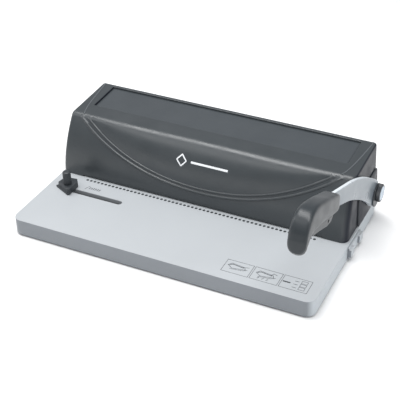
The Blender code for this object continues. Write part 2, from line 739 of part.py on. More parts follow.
ARM_UPPER = [                      # the arm's upper edge (y, z), from the pivot to the grip
    (0.1889, 0.0577), (0.1660, 0.0740), (0.1343, 0.0940), (0.0970, 0.1123), (0.0630, 0.1254),
    (0.0300, 0.1378),
]
ARM_LOWER = [                      # its lower edge, from the grip to the pivot
    (0.0370, 0.1157), (0.0555, 0.1081), (0.0845, 0.0949), (0.1103, 0.0800), (0.1340, 0.0643),
    (0.1554, 0.0477), (0.1727, 0.0320),
]
ARM_ROOT = [                       # round the pivot, from the lower edge to the upper one
    (0.1780, 0.0288), (0.1840, 0.0286), (0.1900, 0.0310), (0.1942, 0.0360), (0.1954, 0.0410),
    (0.1949, 0.0450), (0.1922, 0.0520), (0.1905, 0.0565),
]


def smooth_line(points, steps):
    """Points on a smooth line through the given ones, each a vector of any length."""
    rows = [Vector(point) for point in points]
    rows = [rows[0] * 2 - rows[1]] + rows + [rows[-1] * 2 - rows[-2]]
    line = []
    for a, b, c, d in zip(rows, rows[1:], rows[2:], rows[3:]):
        for i in range(steps):
            t = i / steps
            line.append((b * 2 + (c - a) * t + (a * 2 - b * 5 + c * 4 - d) * t ** 2
                         + (b * 3 - a - c * 3 + d) * t ** 3) / 2)
    return line + [rows[-2]]


def grown(outline, amount):
    """An anticlockwise outline moved outward by an amount, with mitred corners."""
    points = [Vector(point) for point in outline]
    moved = []
    for before, here, after in zip(points[-1:] + points[:-1], points, points[1:] + points[:1]):
        first = (here - before).normalized()
        second = (after - here).normalized()
        normal = Vector((first.y + second.y, -first.x - second.x)).normalized()
        moved.append(here + normal * amount / max(0.3, normal.x * first.y - normal.y * first.x))
    return [tuple(point) for point in moved]


def arm_outline():
    """The arm's side: its lower edge, its root, its upper edge, and the tang that enters the grip."""
    along = Vector((math.cos(TANG_HEADING), math.sin(TANG_HEADING)))
    across = Vector((-along.y, along.x)) * TANG_HALF
    upper, lower = Vector(ARM_UPPER[-1]), Vector(ARM_LOWER[0])
    middle = (upper + lower) / 2
    slant = (upper - lower).normalized()
    reach = slant * TANG_HALF / abs(slant.x * along.y - slant.y * along.x)
    tip = middle + along * TANG_LENGTH
    tang = [middle + reach, tip - across, tip + across, middle - reach]
    edges = smooth_line(ARM_LOWER, 2) + [Vector(point) for point in ARM_ROOT] + smooth_line(ARM_UPPER, 2)
    return [tuple(point) for point in edges + tang]


def lever_arm():
    bore = circle((PIVOT_Y, PIVOT_Z), SHAFT_TIP_RADIUS + FIT, 20)
    arm = plate("lever_arm", [arm_outline(), bore], ARM_THICK,
                (ARM_LOW_X + ARM_THICK / 2, 0.0, 0.0), "YZ")
    part(arm, "arm_silver", "lever_axis")


GRIP_SECTIONS = [                  # upper edge (y, z), lower edge (y, z), half width
    (0.0245, 0.1425, 0.0225, 0.1195, 0.0096),
    (0.0090, 0.1492, 0.0030, 0.1264, GRIP_HALF_WIDTH),
    (-0.0160, 0.1598, -0.0220, 0.1345, GRIP_HALF_WIDTH),
    (-0.0385, 0.1670, -0.0380, 0.1380, GRIP_HALF_WIDTH),
    (-0.0520, 0.1645, -0.0475, 0.1385, GRIP_HALF_WIDTH),
    (-0.0605, 0.1550, -0.0545, 0.1370, GRIP_HALF_WIDTH),
    (-0.0645, 0.1440, -0.0590, 0.1350, 0.0096),
]
GRIP_NOSE = (-0.0670, 0.1320, -0.0635, 0.1280, 0.0096)
GRIP_REAR = (0.0360, 0.1345, 0.0365, 0.1170, 0.0096)
GRIP_RING = 24                     # points round a section
GRIP_WEB = [                       # the web's side (y, z), anticlockwise
    (0.0330, 0.1190), (0.0320, 0.1260), (0.0200, 0.1350), (-0.0350, 0.1440), (-0.0350, 0.1302),
    (-0.0150, 0.1228), (0.0080, 0.1136), (0.0172, 0.1118), (0.0222, 0.1135), (0.0262, 0.1172),
]


def grip_ring(bm, section):
    """A rounded rectangle between a section's two edges, with a crisp upper corner at the right."""
    upper, lower = Vector(section[0:2]), Vector(section[2:4])
    middle = (upper + lower) / 2
    half = (upper - lower) / 2
    ring = []
    for i in range(GRIP_RING):
        angle = 2 * math.pi * (i + 0.5) / GRIP_RING
        power = 0.36 if angle < math.pi / 2 else 0.62
        across = math.copysign(abs(math.cos(angle)) ** power, math.cos(angle))
        along = math.copysign(abs(math.sin(angle)) ** power, math.sin(angle))
        y, z = middle + half * along
        ring.append(bm.verts.new((GRIP_X + section[4] * across, y, z)))
    return ring


def grip_end(start, end, steps):
    """Sections that close an end: from one section toward another, narrowing like a dome."""
    sections = []
    for i in range(1, steps + 1):
        turn = math.pi / 2 * i / (steps + 0.4)
        section = Vector(start).lerp(Vector(end), math.sin(turn))
        section[4] *= math.cos(turn) ** 0.7
        sections.append(section)
    return sections


def lever_grip():
    """A tapering grip that bends down at its nose, with a web inside the bend and the arm's socket."""
    body = smooth_line(GRIP_SECTIONS, 2)
    rear = grip_end(body[0], GRIP_REAR, 3)
    nose = grip_end(body[-1], GRIP_NOSE, 4)
    bm = bmesh.new()
    rings = [grip_ring(bm, section) for section in rear[::-1] + body + nose]
    for first, second in zip(rings, rings[1:]):
        for i in range(GRIP_RING):
            j = (i + 1) % GRIP_RING
            bm.faces.new((first[i], first[j], second[j], second[i]))
    bm.faces.new(rings[0])
    bm.faces.new(rings[-1])
    bmesh.ops.recalc_face_normals(bm, faces=bm.faces)
    grip = smooth(mesh_object("lever_grip", bm))
    web = plate("grip_web", [GRIP_WEB], 2 * WEB_HALF, (GRIP_X, 0.0, 0.0), "YZ")
    boolean(grip, web, "UNION", "lever_axis")
    socket = plate("grip_socket_cutter", [grown(arm_outline(), FIT)], ARM_THICK + 2 * FIT,
                   (ARM_LOW_X + ARM_THICK / 2, 0.0, 0.0), "YZ")
    boolean(grip, socket, "DIFFERENCE", "lever_axis")
    part(grip, "grip_rubber", "lever_axis")


def hub_flange():
    """The dark clamp plate between arm and knob: a disc whose hole for the shaft is off its middle."""
    low = ARM_LOW_X + ARM_THICK + FIT
    high = KNOB_LOW_X - FIT
    bore = circle((PIVOT_Y, PIVOT_Z), SHAFT_TIP_RADIUS + FIT, 20)
    disc = plate("hub_flange", [circle(CLAMP_CENTRE, CLAMP_RADIUS, 36), bore], high - low,
                 ((low + high) / 2, 0.0, 0.0), "YZ")
    part(disc, "knob_black", "lever_axis")


def fixing_knob():
    bore = SHAFT_TIP_RADIUS + FIT
    bore_end = KNOB_LOW_X + 0.0028
    seat = KNOB_HIGH_X - 0.0013
    profile = [(0.0, seat), (0.0087, seat), (0.0087, KNOB_HIGH_X), (KNOB_RADIUS - 0.0007, KNOB_HIGH_X),
               (KNOB_RADIUS, KNOB_HIGH_X - 0.0007), (KNOB_RADIUS, KNOB_LOW_X), (bore, KNOB_LOW_X),
               (bore, bore_end), (0.0, bore_end)]
    part(turned("fixing_knob", profile, (0.0, PIVOT_Y, PIVOT_Z), 28, ALONG_X), "knob_black",
         "fixing_knob_axis")
    cap_low = seat + FIT
    cap_high = KNOB_HIGH_X + 0.0002
    cap = [(0.0, cap_high), (0.0078, cap_high), (0.0084, cap_high - 0.0004), (0.0084, cap_low),
           (0.0, cap_low)]
    part(turned("fixing_knob_cap", cap, (0.0, PIVOT_Y, PIVOT_Z), 28, ALONG_X), "knob_silver",
         "fixing_knob_axis")


# ---------------------------------------------------------------- chip drawer

def chip_drawer():
    right = TRAY_WIDTH / 2
    drawer = open_shell("chip_drawer", (DRAWER_LEFT, DRAWER_FRONT, DRAWER_LOW),
                        (right, DRAWER_BACK, DRAWER_HIGH), 1, DRAWER_CORNER, DRAWER_WALL)
    part(drawer, "drawer_grey", "drawer_slide")
    plate_low = (right + FIT, DRAWER_FRONT - 0.0035, 0.0024)
    plate_high = (right + 0.0020, DRAWER_BACK + 0.0030, 0.0168)
    handle = block("drawer_handle", plate_low, plate_high)
    ear_width = 0.0110
    reach = right + 0.0045
    for name, y in (("front_ear", plate_low[1]), ("rear_ear", plate_high[1] - ear_width)):
        ear = block(name, (right + 0.0010, y, 0.0048), (reach, y + ear_width, 0.0150))
        boolean(handle, ear, "UNION", "drawer_slide")
    part(handle, "drawer_grey", "drawer_slide")


# ---------------------------------------------------------------- edge guide

def edge_guide():
    """A block with a straight fence, clamped through the slot by a knob on a stud."""
    fence = 0.0085
    body = [(fence, -0.0100), (fence, 0.0085), (0.0050, 0.0130), (-0.0070, 0.0120), (-0.0110, 0.0060),
            (-0.0120, -0.0015), (0.0060, -0.0108)]
    foot = [(fence, -0.0108), (fence, 0.0060), (-0.0120, 0.0050), (-0.0155, -0.0014),
            (0.0060, -0.0118)]
    low = TRAY_TOP + FIT
    foot_high = low + 0.0020
    hole = circle((0.0, 0.0), STUD_RADIUS + FIT, 12)
    guide = plate("edge_guide_block", [body, hole], GUIDE_BLOCK_TOP - low,
                  (GUIDE_X, GUIDE_Y, (GUIDE_BLOCK_TOP + low) / 2), "XY")
    toe = plate("edge_guide_toe", [foot, hole], foot_high - low,
                (GUIDE_X, GUIDE_Y, (foot_high + low) / 2), "XY")
    boolean(guide, toe, "UNION", "edge_guide_slide")
    part(guide, "guide_black", "edge_guide_slide")
    nut_high = SLOT_LIP_LOW - FIT
    nut_low = nut_high - 0.0032
    nut_outline = round_box((-0.0070, -0.0050), (0.0070, 0.0050), 0.0010, 1)
    nut = plate("edge_guide_nut", [nut_outline, hole], nut_high - nut_low,
                (GUIDE_X, GUIDE_Y, (nut_high + nut_low) / 2), "XY")
    part(nut, "zinc_steel", "edge_guide_slide")
    stud_high = GUIDE_BLOCK_TOP + 0.0080
    stud = [(0.0, stud_high), (STUD_RADIUS - 0.0004, stud_high), (STUD_RADIUS, stud_high - 0.0004),
            (STUD_RADIUS, nut_low), (0.0, nut_low)]
    part(turned("edge_guide_stud", stud, (GUIDE_X, GUIDE_Y, 0.0), 12), "zinc_steel",
         "edge_guide_slide")


def guide_knob():
    low = GUIDE_BLOCK_TOP + FIT
    bore = STUD_RADIUS + FIT
    bore_end = GUIDE_BLOCK_TOP + 0.0080 + FIT
    radius = GUIDE_KNOB_RADIUS
    profile = [(0.0, GUIDE_KNOB_TOP), (radius - 0.0012, GUIDE_KNOB_TOP - 0.0002),
               (radius, GUIDE_KNOB_TOP - 0.0014), (radius, low + 0.0010), (radius - 0.0010, low),
               (bore, low), (bore, bore_end), (0.0, bore_end)]
    part(turned("edge_guide_knob", profile, (GUIDE_X, GUIDE_Y, 0.0), 20), "guide_black",
         "guide_knob_axis")


# ---------------------------------------------------------------- build

def build():
    clear_scene()
    make_collections()
    make_frames()
    make_materials()
    for make in (base_tray, base_plate, base_screws, feet, housing_cover, top_panel,
                 right_side_cover, cover_screws, die_plate, guide_plate, paper_stop, chassis_plate,
                 bearing_plates, chassis_screws, bushes, guide_posts, return_springs, punch_carriage,
                 punch_pins, lever_shaft, cranks, lever_arm, lever_grip, hub_flange, fixing_knob,
                 chip_drawer, edge_guide, guide_knob):
        make()


build()
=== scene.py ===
"""Looks of the manual coil punch and binding machine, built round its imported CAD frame.

Shapes are written in the machine frame, in metres: X along the machine with 0 at its middle, Y back
from the tray's front edge, Z up from the tray's underside.  place() moves them to the frame's origin.
"""
import json
import math

import bmesh
import bpy
from mathutils import Matrix, Vector


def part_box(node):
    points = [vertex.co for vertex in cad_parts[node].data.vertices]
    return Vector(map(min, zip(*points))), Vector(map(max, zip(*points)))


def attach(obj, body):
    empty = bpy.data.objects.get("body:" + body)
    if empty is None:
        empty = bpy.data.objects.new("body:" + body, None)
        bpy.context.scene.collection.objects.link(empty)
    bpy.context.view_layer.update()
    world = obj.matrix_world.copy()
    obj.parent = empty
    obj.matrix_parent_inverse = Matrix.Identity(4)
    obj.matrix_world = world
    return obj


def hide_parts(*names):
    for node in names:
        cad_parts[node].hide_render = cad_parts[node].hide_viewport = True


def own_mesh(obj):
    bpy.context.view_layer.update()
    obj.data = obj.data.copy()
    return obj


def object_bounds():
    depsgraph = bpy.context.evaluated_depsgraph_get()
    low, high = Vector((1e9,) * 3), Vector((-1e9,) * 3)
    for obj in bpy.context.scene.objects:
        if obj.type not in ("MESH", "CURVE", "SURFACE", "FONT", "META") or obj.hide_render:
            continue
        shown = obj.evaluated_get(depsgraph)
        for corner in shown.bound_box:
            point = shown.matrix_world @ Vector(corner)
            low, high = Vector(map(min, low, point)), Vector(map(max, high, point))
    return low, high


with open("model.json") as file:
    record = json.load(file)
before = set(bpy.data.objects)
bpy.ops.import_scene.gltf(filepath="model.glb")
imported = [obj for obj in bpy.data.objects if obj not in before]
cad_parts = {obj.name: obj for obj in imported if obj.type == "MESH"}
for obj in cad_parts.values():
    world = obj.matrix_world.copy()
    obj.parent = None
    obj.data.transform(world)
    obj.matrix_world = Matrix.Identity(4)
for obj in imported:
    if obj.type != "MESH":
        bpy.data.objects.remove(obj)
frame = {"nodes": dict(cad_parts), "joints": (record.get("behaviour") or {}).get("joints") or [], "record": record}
cad_low, cad_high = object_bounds()

# ---------------------------------------------------------------- the frame's own measures

tray_low, tray_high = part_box("base_tray")
ORIGIN = Vector(((tray_low.x + tray_high.x) / 2, tray_low.y, tray_low.z))


def node_box(node):
    """A CAD node's lowest and highest corners in the machine frame."""
    low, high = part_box(node)
    return low - ORIGIN, high - ORIGIN


def node_middle(node):
    low, high = node_box(node)
    return [(a + b) / 2 for a, b in zip(low, high)]


def joint_place(name):
    """A joint's point in the machine frame."""
    joint = next(j for j in frame["joints"] if j["name"] == name)
    return Vector(joint["pos_m"]) - ORIGIN


TRAY_HIGH = node_box("base_tray")[1]
TRAY_HALF = TRAY_HIGH.x
TRAY_DEPTH = TRAY_HIGH.y
TRAY_TOP = TRAY_HIGH.z
HOUSE_LOW, HOUSE_HIGH = node_box("housing_cover")
PIVOT = joint_place("lever_press")
GUIDE = joint_place("guide_knob_turn")
ARM_LOW, ARM_HIGH = node_box("lever_arm")
KNOB_LOW, KNOB_HIGH = node_box("fixing_knob")

FIT = 0.0003                       # gap between touching pieces

# Tray
TRAY_WALL = 0.0025
TRAY_CORNER = 0.0110
TRAY_EDGE = 0.0005
SCREW_SPOTS = [(x, y) for x in (-0.168, 0.0, 0.168) for y in (0.014, 0.202)]
SLOT_LEFT = -0.1625
SLOT_RIGHT = -0.0835
SLOT_HALF = 0.0035
PRINT_LIFT = 0.00008               # thickness of printed marks
MARK_COUNT = 59
MARK_PITCH = 0.0050
MARK_RADIUS = 0.00170
MARK_Y = 0.1032                    # the row of hole marks

# Housing
FRONT_FOOT = HOUSE_LOW.y           # the front face's Y at the tray
FRONT_CURVE = 4.9                  # y = FRONT_FOOT + FRONT_CURVE * (z - TRAY_TOP)^2
BROW = 0.0912                      # height of the front face's upper edge
HOUSE_WALL = 0.0023
END_HALF = 0.1806                  # half length at the tray
END_DRAFT = 0.032
REAR_FOOT = HOUSE_HIGH.y
REAR_LEAN = 0.0035                 # the rear wall's lean from the tray to the top
PANEL_HALF = 0.1612
PANEL_FRONT = 0.1565
PANEL_BACK = 0.2030
PANEL_DROP = 0.0020
CREASE_FRONT = 0.1345              # the fine lines on the top start and end here
CREASE_BACK = 0.2065
BRANCH_POWER = 2.1                 # shape of the two ridges of the crescent
OUTER_RIDGE = (0.0380, 0.0522, 0.1656, 0.0030, 0.0013)   # lowest z, rise, half span, width, height
INNER_RIDGE = (0.0425, 0.0475, 0.1560, 0.0024, 0.0010)
BULGE = 0.0038                     # how far the crescent swells out below the brow
THROAT_HALF = 0.1535
THROAT_HEIGHT = 0.0022
SIDE_COVER_FACE = 0.18255
SIDE_COVER_DRAFT = 0.0450
COVER_SCREWS = (-0.120, 0.120)
COVER_SCREW_Z = 0.0300
MARK_CENTRE = (-0.0240, 0.0700)    # the lozenge on the front, as (x, z)
MARK_REACH = 0.0060
STRIPE_START = 0.0120              # from the lozenge's middle
STRIPE_LENGTH = 0.0460

# Lever
TANG_HEADING = math.radians(158)   # the arm's direction where it enters the grip
TANG_LENGTH = 0.0340
TANG_HALF = 0.0065
CLAMP_RADIUS = 0.0140
SHAFT_BORE = 0.0053
GRIP_X = 0.1850
WEB_HALF = 0.0046


# ---------------------------------------------------------------- materials

def node_material(name):
    material = bpy.data.materials.new(name)
    material.use_nodes = True
    tree = material.node_tree
    return material, tree, tree.nodes["Principled BSDF"]


def new_node(tree, kind, **values):
    """Add a shader node and set inputs by name, with _ for a space in the name."""
    node = tree.nodes.new("ShaderNode" + kind)
    for name, value in values.items():
        node.inputs[name.replace("_", " ")].default_value = value
    return node


def noise(tree, scale, detail, stretch=(1.0, 1.0, 1.0)):
    """A noise texture on the object's own coordinates."""
    coordinates = new_node(tree, "TexCoord")
    mapping = new_node(tree, "Mapping", Scale=stretch)
    texture = new_node(tree, "TexNoise", Scale=scale, Detail=detail, Roughness=0.5)
    tree.links.new(coordinates.outputs["Object"], mapping.inputs["Vector"])
    tree.links.new(mapping.outputs["Vector"], texture.inputs["Vector"])
    return texture.outputs["Fac"]


def remap(tree, value, low, high, source=(0.3, 0.7)):
    node = new_node(tree, "MapRange", From_Min=source[0], From_Max=source[1], To_Min=low, To_Max=high)
    tree.links.new(value, node.inputs["Value"])
    return node.outputs["Result"]


def mix_colours(tree, factor, first, second):
    """Mix two colours, each a tuple or another node's output."""
    node = new_node(tree, "Mix")
    node.data_type = "RGBA"
    tree.links.new(factor, node.inputs["Factor"])
    for socket, colour in ((node.inputs[6], first), (node.inputs[7], second)):
        if isinstance(colour, tuple):
            socket.default_value = (*colour, 1.0)
        else:
            tree.links.new(colour, socket)
    return node.outputs[2]


def shade(colour, factor):
    return tuple(channel * factor for channel in colour)


def surface(name, colour, roughness, metallic=0.0, mottle=0.06, grain_scale=1400.0, grain=0.15,
            depth=0.00012, stretch=(1.0, 1.0, 1.0), spread=0.06, coat=0.0, specular=0.5, dust=0.0):
    """A moulded, painted or ground surface: mottled colour, uneven gloss and a fine raised grain."""
    material, tree, shader = node_material(name)
    cloudy = noise(tree, 18.0, 4.0)
    fine = noise(tree, grain_scale, 2.0, stretch)
    colours = mix_colours(tree, remap(tree, cloudy, 0.0, 1.0), shade(colour, 1 - mottle),
                          shade(colour, 1 + mottle))
    if dust:
        speck = noise(tree, grain_scale * 0.6, 1.0)
        colours = mix_colours(tree, remap(tree, speck, 0.0, dust, (0.55, 0.75)), colours,
                              shade(colour, 2.2))
    tree.links.new(colours, shader.inputs["Base Color"])
    uneven = noise(tree, 60.0, 5.0, stretch)
    tree.links.new(remap(tree, uneven, roughness - spread, roughness + spread),
                   shader.inputs["Roughness"])
    bump = new_node(tree, "Bump", Strength=grain, Distance=depth)
    tree.links.new(fine, bump.inputs["Height"])
    tree.links.new(bump.outputs["Normal"], shader.inputs["Normal"])
    shader.inputs["Metallic"].default_value = metallic
    shader.inputs["Specular IOR Level"].default_value = specular
    shader.inputs["Coat Weight"].default_value = coat
    return material


def opened(material):
    """A finished material's tree, its shader and what feeds its base colour."""
    tree = material.node_tree
    shader = tree.nodes["Principled BSDF"]
    return tree, shader, shader.inputs["Base Color"].links[0].from_socket


def facing(tree, axis, source=(0.35, 0.85)):
    """How far a face turns toward an axis, from 0 to 1."""
    geometry = new_node(tree, "NewGeometry")
    split = new_node(tree, "SeparateXYZ")
    tree.links.new(geometry.outputs["Normal"], split.inputs["Vector"])
    return remap(tree, split.outputs[axis], 0.0, 1.0, source)


def tray_plastic_painted_light_and_shade():
    """The tray's plastic with painted light and shade: its upright sides are painted darker than its flat top, and
    the side facing +X is painted lighter.
    """
    material = surface("tray_plastic_painted_light_and_shade", (0.412, 0.434, 0.454), 0.45, mottle=0.012,
                       grain_scale=1800.0, grain=0.12)
    tree, shader, top = opened(material)
    # Painted shade and light: upright sides not facing +X get the dark grey, the side facing +X gets the light
    # grey, and upward faces keep the top's colour.
    sides = mix_colours(tree, facing(tree, "X"), (0.220, 0.238, 0.260), (0.490, 0.530, 0.560))
    tree.links.new(mix_colours(tree, facing(tree, "Z"), sides, top), shader.inputs["Base Color"])
    return material


def arm_enamel_painted_highlight():
    """The arm's enamel with a painted highlight: its narrow rims are painted brighter than its flat sides."""
    material = surface("arm_enamel_painted_highlight", (0.200, 0.235, 0.265), 0.32, metallic=0.1, mottle=0.03,
                       grain_scale=900.0, grain=0.08, coat=0.15)
    tree, shader, sides = opened(material)
    coordinates = new_node(tree, "TexCoord")
    split = new_node(tree, "SeparateXYZ")
    tree.links.new(coordinates.outputs["Normal"], split.inputs["Vector"])
    sideways = new_node(tree, "Math")
    sideways.operation = "ABSOLUTE"
    tree.links.new(split.outputs["X"], sideways.inputs[0])
    flatness = remap(tree, sideways.outputs[0], 0.0, 1.0, (0.3, 0.9))
    # Painted highlight: the pale grey goes on the rims, the faces that do not turn sideways.
    tree.links.new(mix_colours(tree, flatness, (0.70, 0.75, 0.79), sides),
                   shader.inputs["Base Color"])
    return material


def housing_plastic_painted_shade():
    """The housing's fine-grained plastic with painted shade: its right end is painted darker and made duller."""
    material = surface("housing_plastic_painted_shade", (0.036, 0.043, 0.048), 0.35, mottle=0.04,
                       grain_scale=1500.0, grain=0.18, dust=0.04)
    tree, shader, front = opened(material)
    right = facing(tree, "X", (0.25, 0.75))
    # Painted shade: faces turned to +X get the darker colour and less specular.
    tree.links.new(mix_colours(tree, right, front, (0.021, 0.024, 0.032)),
                   shader.inputs["Base Color"])
    tree.links.new(remap(tree, right, 0.7, 0.12, (0.0, 1.0)), shader.inputs["Specular IOR Level"])
    return material


def make_finishes():
    """A finish for each material slot of the record, and more for small details and the floor."""
    steel = (0.46, 0.47, 0.48)
    return {
        "tray_grey": tray_plastic_painted_light_and_shade(),
        # Painted light: a paler grey for the tray's own plastic inside the slot, where shade falls.
        "slot_grey": surface("slot_plastic_painted_light", (0.34, 0.36, 0.38), 0.50, mottle=0.02),
        "housing_charcoal": housing_plastic_painted_shade(),
        # Painted highlight: a lighter grey on the housing's fine raised lines.
        "crease_grey": surface("crease_plastic_painted_highlight", (0.105, 0.115, 0.125), 0.40, mottle=0.04),
        "panel_charcoal": surface("panel_plastic", (0.047, 0.055, 0.062), 0.46, mottle=0.04,
                                  grain_scale=1300.0, grain=0.25, dust=0.05),
        "grip_rubber": surface("grip_soft_touch", (0.028, 0.034, 0.039), 0.36, mottle=0.08,
                               grain_scale=2200.0, grain=0.10),
        "guide_black": surface("guide_nylon", (0.030, 0.035, 0.040), 0.45, grain=0.2, dust=0.05),
        "arm_silver": arm_enamel_painted_highlight(),
        "knob_black": surface("knob_plastic", (0.045, 0.050, 0.056), 0.40, grain=0.2),
        "knob_silver": surface("knob_turned_face", (0.52, 0.60, 0.68), 0.30, metallic=0.6,
                               mottle=0.03, grain_scale=300.0, grain=0.1),
        "drawer_grey": surface("drawer_plastic", (0.58, 0.63, 0.68), 0.42, mottle=0.03),
        "punch_steel": surface("ground_steel", steel, 0.30, 1.0, 0.08, 500.0, 0.3, 0.00008,
                               (1.0, 14.0, 1.0)),
        "zinc_steel": surface("zinc_plate", shade(steel, 1.15), 0.38, 1.0, 0.12, 260.0, 0.2, 0.0001),
        "bronze": surface("sintered_bronze", (0.45, 0.30, 0.13), 0.42, 1.0, 0.12, 900.0, 0.4),
        "spring_steel": surface("spring_wire", steel, 0.28, 1.0, 0.06, 700.0, 0.2),
        "foot_rubber": surface("foot_rubber", (0.018, 0.018, 0.019), 0.78, 0.0, 0.15, 1100.0, 0.4),
        "print_dark": surface("print_dark", (0.030, 0.035, 0.040), 0.55, mottle=0.15),
        "print_grey": surface("print_grey", (0.085, 0.090, 0.095), 0.55, mottle=0.15),
        "print_white": surface("print_white", (0.80, 0.82, 0.84), 0.45, mottle=0.05),
        "floor": surface("floor_white", (0.92, 0.92, 0.92), 0.70, 0.0, 0.01, 300.0, 0.05),
    }


# ---------------------------------------------------------------- mesh helpers

def add_loft(bm, rings, wrap=False):
    """Join rings of equal length with quads, and close the ends or join the last ring to the first."""
    made = [[bm.verts.new(point) for point in ring] for ring in rings]
    count = len(rings[0])
    pairs = list(zip(made, made[1:])) + ([(made[-1], made[0])] if wrap else [])
    for lower, upper in pairs:
        for i in range(count):
            j = (i + 1) % count
            bm.faces.new((lower[i], lower[j], upper[j], upper[i]))
    if not wrap:
        bm.faces.new(made[0][::-1])
        bm.faces.new(made[-1])


def loose(bm):
    """An object for shaping only, in the machine frame."""
    bmesh.ops.recalc_face_normals(bm, faces=bm.faces)
    mesh = bpy.data.meshes.new("shape")
    bm.to_mesh(mesh)
    bm.free()
    obj = bpy.data.objects.new("shape", mesh)
    bpy.context.scene.collection.objects.link(obj)
    return obj


def loft(rings, wrap=False):
    bm = bmesh.new()
    add_loft(bm, rings, wrap)
    return loose(bm)


def combine(obj, tools, operation):
    """Join on or cut away other shapes, which are then removed."""
    for tool in tools:
        modifier = obj.modifiers.new("boolean", "BOOLEAN")
        modifier.operation = operation
        modifier.object = tool
        modifier.solver = "EXACT"
    settle(obj)
    for tool in tools:
        bpy.data.objects.remove(tool, do_unlink=True)
    return obj


def settle(obj):
    """Turn an object's modifiers into its mesh."""
    depsgraph = bpy.context.evaluated_depsgraph_get()
    mesh = bpy.data.meshes.new_from_object(obj.evaluated_get(depsgraph))
    obj.modifiers.clear()
    obj.data = mesh
    return obj


def bevelled(obj, width, segments=3, angle=40.0):
    bevel = obj.modifiers.new("edges", "BEVEL")
    bevel.width = width
    bevel.segments = segments
    bevel.limit_method = "ANGLE"
    bevel.angle_limit = math.radians(angle)
    return settle(obj)


def place(obj, name, finish, body, nodes=(), angle=32.0, slot=None):
    """Name a finished shape, give it its finish, and let it ride in place of its CAD nodes.

    The slot argument is not used.
    """
    obj.name = name
    obj.data.name = name
    obj.data.materials.clear()
    obj.data.materials.append(FINISHES[finish])
    obj.data.shade_smooth()
    obj.data.set_sharp_from_angle(angle=math.radians(angle))
    obj.location = ORIGIN
    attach(obj, body)
    slot = slot or (finish if nodes else None)
    if nodes:
        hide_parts(*nodes)
    return obj


def arc(centre, radius, start, end, steps):
    """Points on an arc, with angles in degrees."""
    angles = [math.radians(start + (end - start) * i / steps) for i in range(steps + 1)]
    return [(centre[0] + radius * math.cos(a), centre[1] + radius * math.sin(a)) for a in angles]


def circle(centre, radius, sides):
    return arc(centre, radius, 0.0, 360.0 * (1 - 1 / sides), sides - 1)


def round_box(low, high, radius, steps=6):
    """A rectangle with round corners, as (u, v) points that run anticlockwise."""
    (u0, v0), (u1, v1) = low, high
    return (arc((u1 - radius, v1 - radius), radius, 0, 90, steps)
            + arc((u0 + radius, v1 - radius), radius, 90, 180, steps)
            + arc((u0 + radius, v0 + radius), radius, 180, 270, steps)
            + arc((u1 - radius, v0 + radius), radius, 270, 360, steps))


def capsule(left, right, v, radius, steps=10):
    return (arc((right - radius, v), radius, -90, 90, steps)
            + arc((left + radius, v), radius, 90, 270, steps))


def grown(outline, amount):
    """An anticlockwise outline moved outward by an amount, with mitred corners."""
    points = [Vector(point) for point in outline]
    moved = []
    for before, here, after in zip(points[-1:] + points[:-1], points, points[1:] + points[:1]):
        first = (here - before).normalized()
        second = (after - here).normalized()
        normal = Vector((first.y + second.y, -first.x - second.x)).normalized()
        moved.append(here + normal * amount / max(0.3, normal.x * first.y - normal.y * first.x))
    return [tuple(point) for point in moved]


def flat(points, height, plane="XY"):
    """Lay (u, v) points at a height along the plane's third axis."""
    if plane == "XY":
        return [Vector((u, v, height)) for u, v in points]
    if plane == "YZ":
        return [Vector((height, u, v)) for u, v in points]
    return [Vector((u, height, v)) for u, v in points]


def slab(outline, low, high, plane="XY", edge=0.0):
    """A plate between two heights, with both rims chamfered by an edge width."""
    rings = [flat(grown(outline, -edge), low, plane), flat(outline, low + edge, plane),
             flat(outline, high - edge, plane), flat(grown(outline, -edge), high, plane)]
    if not edge:
        rings = [rings[1], rings[2]]
    return loft(rings)


def rod(centre, radius, length, sides=24, axis="Z"):
    x, y, z = centre
    if axis == "Z":
        return slab(circle((x, y), radius, sides), z - length / 2, z + length / 2)
    if axis == "X":
        return slab(circle((y, z), radius, sides), x - length / 2, x + length / 2, "YZ")
    return slab(circle((x, z), radius, sides), y - length / 2, y + length / 2, "XZ")


def box(low, high):
    return slab([(low[0], low[1]), (high[0], low[1]), (high[0], high[1]), (low[0], high[1])],
                low[2], high[2])


def turned(profile, centre, axis="Z", sides=64, wave=None):
    """Turn (radius, height) points about an axis; wave(angle, index) scales the radius."""
    rings = []
    for index, (radius, height) in enumerate(profile):
        ring = []
        for i in range(sides):
            angle = 2 * math.pi * i / sides
            reach = radius * (wave(angle, index) if wave else 1.0)
            u, v = reach * math.cos(angle), reach * math.sin(angle)
            offset = Vector((height, u, v)) if axis == "X" else Vector((u, v, height))
            if axis == "-Y":
                offset = Vector((u, -height, v))
            ring.append(Vector(centre) + offset)
        rings.append(ring)
    return loft(rings)


# ---------------------------------------------------------------- tray

